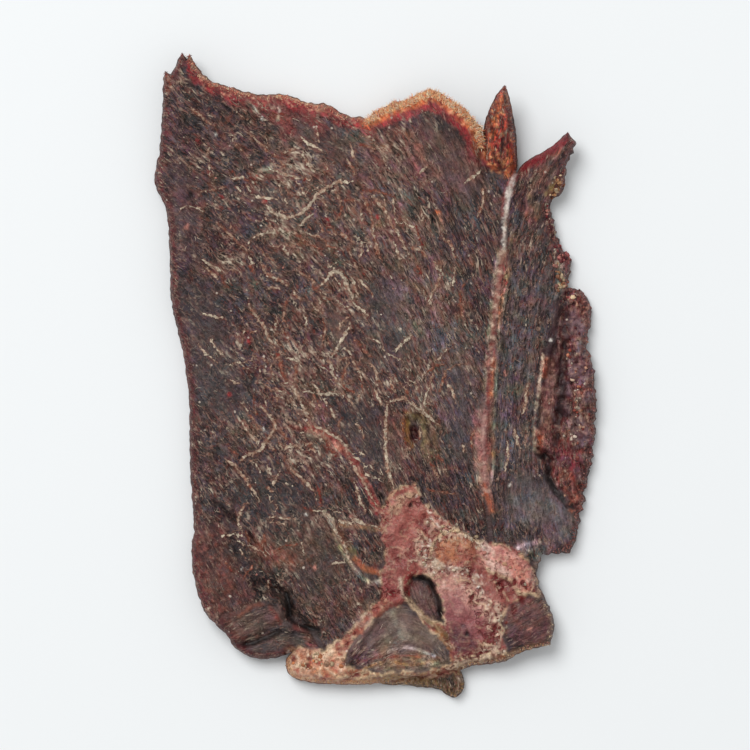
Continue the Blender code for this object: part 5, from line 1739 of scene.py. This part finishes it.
def build_body(ring):
    """The slice itself: its top, its torn rim and its underside, as one closed mesh."""
    count = len(ring.points)
    builder = Builder()
    skin, top, under = add_top(builder, ring)
    wall_start = len(builder.faces)
    last = add_wall(builder, ring, skin.tone[:count], top[:count], under[:count])
    flat, away, nearest = ring.filled(UNDERSIDE_STEP)
    under, _ = slice_heights(flat, away, ring.rims[nearest])
    tone, layers = underside_look(flat, away)
    first = builder.add(np.column_stack((flat, under)), tone, **layers)
    builder.join(last, first, count)
    wall_end = len(builder.faces)
    builder.faces += (first + cap_triangles(flat, count)[:, ::-1]).tolist()
    piece = builder.make("jerky_body", meat_material())
    lay_out(piece.data, ring, wall_start, wall_end)
    return piece, Surface(skin, top)


def read_field(items, field, width, kind=float):
    """One field of each of a mesh's items, as rows of numbers."""
    values = np.zeros(len(items) * width, dtype=kind)
    items.foreach_get(field, values)
    return values.reshape(-1, width) if width > 1 else values


def lay_out(mesh, ring, wall_start, wall_end):
    """Lays the mesh out flat for a picture: top, underside, and the wall in strips."""
    count = len(ring.points)
    corners = read_field(mesh.vertices, "co", 3) / METRE
    low = corners.min(axis=0)
    size = (corners.max(axis=0) - low)[:2]
    scale = LAYOUT_WIDTH / size[0]
    loops = read_field(mesh.loops, "vertex_index", 1, np.int32)
    totals = read_field(mesh.polygons, "loop_total", 1, np.int32)
    face = np.repeat(np.arange(len(totals)), totals)
    flat = (corners[loops, :2] - low[:2]) * scale
    places = flat + (LAYOUT_MARGIN, LAYOUT_LOW)
    under = face >= wall_end
    places[under] = flat[under] * (-1.0, 1.0) + (UNDERSIDE_LEFT + size[0] * scale, LAYOUT_LOW)
    wall = np.flatnonzero((face >= wall_start) & (face < wall_end))
    side = (face[wall] - wall_start) % count
    row = (face[wall] - wall_start) // count
    within = np.arange(len(wall)) % 4
    step = side + np.isin(within, (1, 2))
    passed = ring.passed - ring.passed[0]
    whole = ring.passed[-1]
    strip_length = whole / WALL_STRIPS
    strip = np.minimum((passed[side] / strip_length).astype(int), WALL_STRIPS - 1)
    reached = np.where(step >= count, whole, passed[step % count])
    depth = (row + np.isin(within, (2, 3))) / (WALL_RINGS + 1.0)
    places[wall, 0] = LAYOUT_MARGIN + (reached - strip * strip_length) / strip_length * STRIP_LENGTH
    places[wall, 1] = STRIP_LOW + STRIP_PITCH * strip + STRIP_HEIGHT * (1.0 - depth)
    layer = mesh.uv_layers.new(name="OFBake")
    layer.data.foreach_set("uv", np.clip(places, 0.0, 1.0).ravel())

    fibre = read_field(mesh.attributes["fibre"].data, "vector", 3)[loops]
    run = corners[loops[wall], 2] * WALL_FIBRE_SCALE + WALL_FIBRE_SHIFT
    fibre[wall] = np.column_stack((reached, run, np.zeros(len(wall))))
    mesh.attributes.remove(mesh.attributes["fibre"])
    mesh.attributes.new("fibre", "FLOAT_VECTOR", "CORNER").data.foreach_set("vector", fibre.ravel())


# Loose fibres and crumbs

class Surface:
    """The slice's top, to set small things on."""

    def __init__(self, skin, top):
        self.skin = skin
        self.top = top
        self.tree = flat_tree(skin.points)

    def height(self, x, y):
        """How high the top is at a place."""
        return self.top[self.tree.find((x, y, 0.0))[1]]


def add_fibre(builder, path, radius, colour):
    """A three-sided fibre that tapers to a point along the path."""
    path = np.array(path)
    along = np.gradient(path, axis=0)
    along /= np.linalg.norm(along, axis=1)[:, None]
    side = np.cross(along, (0.0, 0.0, 1.0))
    side /= np.maximum(np.linalg.norm(side, axis=1), 1e-6)[:, None]
    rise = np.cross(side, along)
    shares = np.linspace(0.0, 1.0, len(path))
    widths = radius * (1.0 - 0.75 * shares**1.5)
    corners = []
    for k in range(3):
        turn = 2.0 * math.pi * k / 3.0 + math.pi / 6.0
        corners.append(path + widths[:, None] * (math.cos(turn) * side + math.sin(turn) * rise))
    corners = np.stack(corners, axis=1).reshape(-1, 3)
    first = builder.add(corners, linear(colour) * (0.75 + 0.5 * np.repeat(shares, 3))[:, None])
    end = first + 3 * (len(path) - 1)
    for low in range(first, end, 3):
        for k in range(3):
            a = low + k
            b = low + (k + 1) % 3
            builder.faces.append((a, b, b + 3, a + 3))
    builder.faces.append((first + 2, first + 1, first))
    builder.faces.append((end, end + 1, end + 2))


def fibre_path(pick, start, heading, length, rise, surface=None):
    """Four points from the start: the fibre bends a little, and rises or follows the top."""
    step = length / FIBRE_PARTS
    bend = pick.normal(0.0, FIBRE_BEND)
    path = [np.array(start)]
    for part in range(FIBRE_PARTS):
        heading += bend
        x, y, z = path[-1] + step * np.array((math.cos(heading), math.sin(heading),
                                              rise * (1.0 - 0.5 * part)))
        if surface:
            z = surface.height(x, y) + rise * (part + 1.0)
        path.append(np.array((x, y, z)))
    return path


def build_fringe(ring, surface):
    """Loose fibres along the rim."""
    pick = np.random.default_rng(FRINGE_SEED)
    builder = Builder()
    spacing = np.linalg.norm(np.roll(ring.points, -1, axis=0) - ring.points, axis=1)
    for names, density, shortest, longest, inner, rise, colours in FRINGES:
        for index in np.flatnonzero(ring.named(names)):
            outward = ring.outward[index]
            for _ in range(pick.poisson(density * spacing[index])):
                inward = FRINGE_INWARD + inner * pick.random() ** 1.5
                spot = ring.points[index] - outward * inward
                spot = spot + pick.uniform(-FRINGE_SCATTER, FRINGE_SCATTER, 2)
                start = (*spot, surface.height(*spot) - FRINGE_SINK)
                heading = math.atan2(outward[1], outward[0])
                heading += pick.normal(0.0, FRINGE_TURN)
                length = pick.uniform(shortest, longest) * pick.uniform(0.6, 1.0)
                path = fibre_path(pick, start, heading, length, rise * pick.normal(0.3, 1.0))
                colour = colours[pick.integers(len(colours))]
                radius = pick.uniform(*FRINGE_RADIUS)
                add_fibre(builder, path, radius, np.array(colour) * pick.uniform(0.75, 1.1))
    return builder.make("jerky_fringe", thread_material("dried_threads"), False)


def build_shreds(ring, surface):
    """Loose shreds lying on the torn flank and, much finer, on the lean."""
    pick = np.random.default_rng(SHRED_SEED)
    builder = Builder()
    skin = surface.skin
    low = ring.points.min(axis=0)
    high = ring.points.max(axis=0)
    for region, count, shortest, longest, thin, thick, stray, colours in SHREDS:
        made = 0
        while made < count:
            x, y = pick.uniform(low, high)
            _, index, distance = surface.tree.find((x, y, 0.0))
            torn = skin.torn[index] > 0.5
            outside = distance > SHRED_REACH or skin.away[index] < SHRED_CLEARANCE
            if outside or skin.fat[index] > 0.2 or torn != (region == "torn flank"):
                continue
            made += 1
            muscle = 1 if x > place(RIGHT_STRIP_LEFT)[0] else 0
            turn = grain_angle(np.array([(x, y)]), MUSCLES[muscle][3])[0]
            heading = turn + pick.normal(0.0, stray) + math.pi * pick.integers(2)
            radius = pick.uniform(thin, thick)
            length = pick.uniform(shortest, longest)
            start = (x, y, surface.top[index] - 0.3 * radius)
            path = fibre_path(pick, start, heading, length, 0.3 * radius, surface)
            colour = colours[pick.integers(len(colours))]
            add_fibre(builder, path, radius, np.array(colour) * pick.uniform(0.7, 1.1))
    return builder.make("jerky_shreds", thread_material("dried_shreds"), False)


def build_crumbs(surface):
    """Small rough crumbs of lean and fat."""
    pick = np.random.default_rng(CRUMB_SEED)
    ball = bmesh.new()
    bmesh.ops.create_icosphere(ball, subdivisions=2, radius=1.0)
    shape = np.array([corner.co[:] for corner in ball.verts])
    faces = np.array([[corner.index for corner in face.verts] for face in ball.faces])
    ball.free()
    builder = Builder()
    for knots, stray, count, small, large, colours in CRUMBS:
        line = curve(knots)
        for _ in range(count):
            spot = line[pick.integers(len(line))] + pick.normal(0.0, 0.6, 2) * stray * pixel
            _, index, distance = surface.tree.find((*spot, 0.0))
            if distance > CRUMB_REACH:
                continue
            radius = small + (large - small) * pick.random() ** 2
            seed = Vector((pick.uniform(0.0, 50.0), 0.0, 0.0))
            lumps = np.array([noise.noise(Vector(corner) * CRUMB_SWELLS + seed) for corner in shape])
            stretch = pick.uniform(0.7, 1.3, 3) * CRUMB_FLATTEN
            corners = shape * (1.0 + CRUMB_LUMPS * lumps)[:, None] * stretch * radius
            middle = (*spot, surface.top[index] + 0.25 * radius)
            colour = np.array(colours[pick.integers(len(colours))]) * pick.uniform(0.7, 1.05)
            # painted light and shade: each crumb is lighter where it bulges and darker in its dents
            first = builder.add(corners + middle, linear(colour) * (1.0 + 0.5 * lumps)[:, None])
            builder.faces += (first + faces).tolist()
    return builder.make("jerky_crumbs", thread_material("dried_crumbs"))


# Materials

class Value:
    """What comes out of a node, which can be reckoned with like a number."""

    def __init__(self, weave, socket):
        self.weave = weave
        self.socket = socket

    def __add__(self, other):
        return self.weave.math("ADD", self, other)

    def __sub__(self, other):
        return self.weave.math("SUBTRACT", self, other)

    def __rsub__(self, other):
        return self.weave.math("SUBTRACT", other, self)

    def __mul__(self, other):
        return self.weave.math("MULTIPLY", self, other)

    def __abs__(self):
        return self.weave.math("ABSOLUTE", self)

    def most(self, other):
        """The greater of the two."""
        return self.weave.math("MAXIMUM", self, other)

    def fade(self, low, high, start=0.0, stop=1.0):
        """From start below low to stop above high, and smooth between."""
        inputs = {"Value": self, "From Min": low, "From Max": high, "To Min": start, "To Max": stop}
        return self.weave.node("ShaderNodeMapRange", "Result", inputs, interpolation_type="SMOOTHSTEP")

    def beside(self, output):
        """Another output of the same node."""
        return Value(self.weave, self.socket.node.outputs[output])


class Weave:
    """A material's nodes, with short names for the few kinds that it needs."""

    def __init__(self, name):
        self.material = bpy.data.materials.new(name)
        self.material.use_nodes = True
        self.tree = self.material.node_tree
        self.shader = self.tree.nodes["Principled BSDF"]

    def put(self, socket, value):
        """Gives a socket a value, or a link where the value comes out of a node."""
        if isinstance(value, Value):
            self.tree.links.new(value.socket, socket)
        else:
            socket.default_value = value

    def node(self, kind, output, inputs, **settings):
        """Makes a node, fills its inputs and gives back one of its outputs."""
        made = self.tree.nodes.new(kind)
        for name, value in settings.items():
            setattr(made, name, value)
        for name, value in inputs.items():
            self.put(made.inputs[name], value)
        return Value(self, made.outputs[output])

    def attribute(self, name, output="Vector"):
        return self.node("ShaderNodeAttribute", output, {}, attribute_name=name)

    def parts(self, vector):
        """The X, Y and Z of a vector, or the red, green and blue of a colour."""
        first = self.node("ShaderNodeSeparateXYZ", 0, {0: vector})
        return first, first.beside(1), first.beside(2)

    def millimetres(self):
        """The place on the piece, in millimetres."""
        return self.scaled(self.node("ShaderNodeTexCoord", "Object", {}), 1000.0)

    def scaled(self, vector, scale, shift=(0.0, 0.0, 0.0)):
        """A vector times the scale, which is one number or one each way, and shifted."""
        if isinstance(scale, float):
            scale = (scale, scale, scale)
        inputs = {0: vector, 1: scale, 2: shift}
        return self.node("ShaderNodeVectorMath", 0, inputs, operation="MULTIPLY_ADD")

    def joined(self, vector, other):
        """The sum of two vectors."""
        return self.node("ShaderNodeVectorMath", 0, {0: vector, 1: other}, operation="ADD")

    def math(self, operation, a, b=0.0):
        return self.node("ShaderNodeMath", 0, {0: a, 1: b}, operation=operation)

    def noise(self, vector, detail=1.0, output="Fac"):
        inputs = {"Vector": vector, "Scale": 1.0, "Detail": detail}
        return self.node("ShaderNodeTexNoise", output, inputs, noise_dimensions="3D")

    def cells(self, vector):
        """For cells one unit wide: the distance to the middle, and a colour for each cell."""
        inputs = {"Vector": vector, "Scale": 1.0}
        distance = self.node("ShaderNodeTexVoronoi", "Distance", inputs, voronoi_dimensions="3D",
                             feature="F1")
        return distance, distance.beside("Color")

    def mix(self, share, a, b, blend_type="MIX"):
        return self.node("ShaderNodeMix", 2, {0: share, 6: a, 7: b}, data_type="RGBA",
                         blend_type=blend_type)

    def ramp(self, value, stops):
        """A colour for a value: the stops are pairs of a place and a colour as it looks."""
        picked = self.node("ShaderNodeValToRGB", 0, {0: value})
        elements = picked.socket.node.color_ramp.elements
        while len(elements) < len(stops):
            elements.new(0.5)
        for element, (position, colour) in zip(elements, stops):
            element.position = position
            element.color = full(colour)
        return picked

    def finish(self, colour, roughness, specular, relief=None, distance=0.0):
        """Gives the shader its colour, roughness and shine, and its finest relief."""
        self.put(self.shader.inputs["Base Color"], colour)
        self.put(self.shader.inputs["Roughness"], roughness)
        self.put(self.shader.inputs["Specular IOR Level"], specular)
        if relief:
            inputs = {"Strength": 1.0, "Distance": distance, "Height": relief}
            self.put(self.shader.inputs["Normal"], self.node("ShaderNodeBump", 0, inputs))
        return self.material


def full(colour):
    """A colour as it looks, as the nodes take it."""
    return (*linear(colour), 1.0)


class Meat(Weave):
    """Dried lean with short pale and red flecks, veins, and pink fat where marked."""

    def __init__(self):
        super().__init__("dried_meat")
        self.spot = self.millimetres()
        self.fat, self.torn, calm = self.parts(self.attribute("kind"))
        self.pale_bias, self.red_bias, self.dark_bias = self.parts(self.attribute("fleck"))
        self.lively = 1.0 - calm
        self.lean = (1.0 - self.fat) * self.lively
        self.knotty = self.fat * self.lively
        self.wander = self.over_spot(0.28, detail=1.5, output="Color")
        self.thread = self.joined(self.scaled(self.attribute("fibre"), (1.0, 1.0, 0.0)),
                                  self.scaled(self.wander, (1.8, 1.0, 0.0), (-0.9, -0.5, 0.0)))
        self.mottle = self.over_spot(2.2, detail=2.0)
        self.salt = self.over_spot(6.5)
        self.streak = self.over_thread(0.30, 5.0, 3.7)
        self.strip = self.over_thread(0.09, 1.2, 65.1, 2.5)
        self.colour = self.attribute("tone", "Color")

    def over_spot(self, scale, shift=(0.0, 0.0, 0.0), detail=1.0, output="Fac"):
        """Noise over the piece, as many to a millimetre as the scale says."""
        return self.noise(self.scaled(self.spot, scale, shift), detail, output)

    def over_thread(self, along, across, shift, detail=1.0):
        """Noise that is drawn out along the fibres."""
        return self.noise(self.scaled(self.thread, (along, across, 0.0), (0.0, 0.0, shift)), detail)

    def cover(self, share, colour):
        """Lays a colour over what is there."""
        self.colour = self.mix(share, self.colour, colour)

    def shade(self, light):
        """Makes what is there lighter or darker."""
        self.colour = self.mix(1.0, self.colour, light, "MULTIPLY")

    def flecks(self, rows, bias):
        """Short flecks along the fibres: noise that is stretched and then cut off."""
        found = None
        for along, across, shift, detail, lean_on, low, high, strength in rows:
            noise = self.over_thread(along, across, shift, detail)
            fleck = (noise + bias * lean_on).fade(low, high) * strength
            found = found.most(fleck) if found else fleck
        return found

    def hairlines(self, noise, width):
        """Thin winding lines, where noise passes through its middle value."""
        return abs(noise - 0.5).fade(0.3 * width, width, 1.0, 0.0)

    def light(self):
        """Light and dark streaks in the lean, and a fine mottle on everything."""
        grain = self.over_thread(0.6, 1.6, 6.3, 3.0)
        light = self.streak.fade(0.25, 0.75, 0.86, 1.14) * grain.fade(0.28, 0.72, 0.52, 1.55)
        light = light * self.strip.fade(0.33, 0.67, 0.64, 1.38)
        self.shade(self.mix(self.lean, (1.0, 1.0, 1.0, 1.0), light))
        self.shade(self.mottle.fade(0.25, 0.75, 0.80, 1.22) * self.salt.fade(0.25, 0.75, 0.82, 1.18))

    def fleck(self):
        """Dark gaps between fibre bundles, which are painted shade, red flecks and pale dashes in the
        lean.
        """
        self.gap = self.flecks(GAP_SHADE_FLECKS, self.dark_bias)
        # painted shade in the sunk gaps between fibre bundles
        self.cover(self.gap * 0.78 * self.lean, full(GAP_SHADE_COLOUR))
        blush = self.flecks(BLUSH_FLECKS, self.red_bias)
        hue = self.over_spot(0.9, (5.0, 1.0, 2.0))
        self.cover(blush * 0.38 * self.lean, self.ramp(hue, BLUSH_RAMP))
        self.dash = self.flecks(DASH_FLECKS, self.pale_bias)
        hue = self.noise(self.scaled(self.thread, (0.7, 1.6, 0.0), (3.0, 8.0, 41.3)), 1.5)
        hue = hue + self.pale_bias * 0.7
        self.cover(self.dash * 0.78 * self.lean, self.ramp(hue, DASH_RAMP))

    def thread_hairs(self):
        """Pale hairlines in the lean, in places."""
        patch = self.over_spot(0.45, (1.0, 2.0, 6.0), 2.0) + self.pale_bias * 1.5
        hair = self.hairlines(self.over_thread(0.16, 0.62, 53.3, 2.0), 0.030)
        fine = self.hairlines(self.over_thread(0.40, 1.3, 59.9), 0.040)
        hair = hair * patch.fade(0.50, 0.60)
        self.hair = hair.most(fine * patch.fade(0.46, 0.38) * 0.7)
        self.cover(self.hair * 0.55 * self.lean, self.ramp(self.salt, HAIR_RAMP))

    def crumble(self):
        """Grains of many colours on the torn flank."""
        _, tint = self.cells(self.joined(self.scaled(self.spot, (0.9, 0.9, 0.6)),
                                         self.scaled(self.wander, (0.9, 0.9, 0.0))))
        share = self.torn * self.mottle.fade(0.40, 0.62, 0.0, 0.35) * self.lively
        self.cover(share, self.ramp(self.parts(tint)[0], CRUMB_RAMP))

    def lay_veins(self):
        """Veins, worn in places, each with a reddish halo."""
        vein, half, hue = self.parts(self.attribute("marks"))
        ragged = self.over_spot(1.5, (9.0, 4.0, 7.0), 2.0)
        tint = self.over_spot(1.0, (3.0, 5.0, 8.0), 2.0)
        sway = (self.mottle - 0.5) * 0.7
        inside = half - abs(vein + sway) + (ragged - 0.46) * 0.9
        halo = inside.fade(-0.40, 0.05) * 0.45
        self.cover(halo * self.lean, self.ramp(tint, HALO_RAMP))
        worn = (ragged + self.salt).fade(0.82, 1.10, 0.55, 1.0)
        self.vein = inside.fade(-0.05, 0.07) * worn
        self.cover(self.vein, self.ramp(hue + (tint - 0.5) * 1.6, VEIN_RAMP))

    def lay_web(self):
        """Dark pits in the fat, and a fine cream web over it."""
        bend = self.over_spot(0.5, detail=2.0, output="Color")
        bent = self.joined(self.spot, self.scaled(bend, (2.4, 2.4, 0.0)))
        mottle = self.noise(self.scaled(bent, 1.1, (2.0, 6.0, 1.0)), 3.0)
        pit_place = self.over_spot(0.30, (7.0, 1.0, 4.0))
        self.pit = (mottle + (pit_place - 0.5) * 0.45).fade(0.57, 0.68) * self.knotty
        self.cover(self.pit * 0.70, full(PIT_COLOUR))
        web = self.hairlines(self.noise(self.scaled(bent, 0.21, (0.0, 0.0, 3.1)), 1.5), 0.036)
        fine = self.hairlines(self.noise(self.scaled(bent, 0.55, (0.0, 0.0, 7.7))), 0.045)
        self.web = web.most(fine * 0.6) * self.knotty * mottle.fade(0.54, 0.42, 0.0, 0.50)
        self.cover(self.web, full(WEB_COLOUR))

    def speckle(self):
        """A few pale specks all over."""
        distance, tint = self.cells(self.joined(self.scaled(self.spot, 0.6, (0.4, 0.7, 0.2)),
                                                self.scaled(self.wander, 0.5)))
        chosen = self.parts(tint)[1].fade(0.87, 0.89)
        self.cover(distance.fade(0.08, 0.18, 0.8, 0.0) * chosen, full(SPECK_COLOUR))

    def relief(self):
        """The finest relief, which follows the flecks, the veins and the web."""
        height = self.dash * 0.5 + self.streak * 0.5 + self.strip * 2.2
        height = (height - self.gap * 0.9 + self.hair * 0.4) * self.lean
        height = height + self.vein * 0.8 + self.web * 1.3
        return height - self.pit * 1.2 + self.mottle * 0.8


def meat_material():
    """The slice's own material."""
    meat = Meat()
    meat.light()
    meat.fleck()
    meat.thread_hairs()
    meat.crumble()
    meat.lay_veins()
    meat.lay_web()
    meat.speckle()
    meat.shade((PHOTO_LIGHT, PHOTO_LIGHT, PHOTO_LIGHT, 1.0))
    rough = (meat.mottle + meat.dash * 0.2).fade(0.3, 0.8, 0.44, 0.64) - meat.fat * 0.12
    return meat.finish(meat.colour, rough, 0.32, meat.relief(), MEAT_RELIEF)


def thread_material(name):
    """Dry fibres and crumbs, which carry their own colour."""
    weave = Weave(name)
    mottle = weave.noise(weave.scaled(weave.millimetres(), 3.0), 2.0)
    light = mottle.fade(0.25, 0.75, 0.75 * PHOTO_LIGHT, 1.25 * PHOTO_LIGHT)
    colour = weave.mix(1.0, weave.attribute("tone", "Color"), light, "MULTIPLY")
    return weave.finish(colour, mottle.fade(0.3, 0.7, 0.5, 0.65), 0.3, mottle, THREAD_RELIEF)


# The studio

def build_floor():
    """A pale table top that reaches out of the picture."""
    mesh = bpy.data.meshes.new("floor")
    sides = ((-1.0, -1.0), (1.0, -1.0), (1.0, 1.0), (-1.0, 1.0))
    mesh.from_pydata([(x * FLOOR_REACH, y * FLOOR_REACH, 0.0) for x, y in sides], [], [(0, 1, 2, 3)])
    mesh.materials.append(Weave("floor_paint").finish(FLOOR_COLOUR, 0.9, 0.1))
    floor = bpy.data.objects.new("floor", mesh)
    floor.location.z = -FLOOR_DROP
    bpy.context.scene.collection.objects.link(floor)


def build_light():
    """Even light from all round, and a broad lamp from the upper left."""
    world = bpy.data.worlds.new("studio")
    bpy.context.scene.world = world
    world.use_nodes = True
    background = world.node_tree.nodes["Background"]
    background.inputs["Color"].default_value = (1.0, 1.0, 1.0, 1.0)
    background.inputs["Strength"].default_value = WORLD_LIGHT
    lamp = bpy.data.lights.new("soft_box", "AREA")
    lamp.shape = "DISK"
    lamp.size = SOFT_BOX_SIZE
    lamp.energy = SOFT_BOX_POWER
    box = bpy.data.objects.new("soft_box", lamp)
    box.location = SOFT_BOX_PLACE
    box.rotation_euler = (-Vector(SOFT_BOX_PLACE)).to_track_quat("-Z", "Y").to_euler()
    bpy.context.scene.collection.objects.link(box)
    bpy.context.scene.view_settings.view_transform = "Standard"


def build_camera():
    """Straight above the slice, which fills most of the picture's height."""
    data = bpy.data.cameras.new("camera")
    camera = bpy.data.objects.new("camera", data)
    middle = (Vector(cad_box[0]) + Vector(cad_box[1])) / 2.0
    shown = (cad_box[1][1] - cad_box[0][1]) / FRAME_SHARE
    data.lens = data.sensor_width * CAMERA_HEIGHT / shown
    data.clip_end = 20.0
    camera.location = (middle.x, middle.y, CAMERA_HEIGHT)
    bpy.context.scene.collection.objects.link(camera)
    bpy.context.scene.camera = camera


def main():
    ring = Ring()
    body, surface = build_body(ring)
    fringe = build_fringe(ring, surface)
    shreds = build_shreds(ring, surface)
    crumbs = build_crumbs(surface)
    for piece in (body, fringe, shreds, crumbs):
        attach(piece, "root")
        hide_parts("jerky_slice")
    build_floor()
    build_light()
    build_camera()


main()
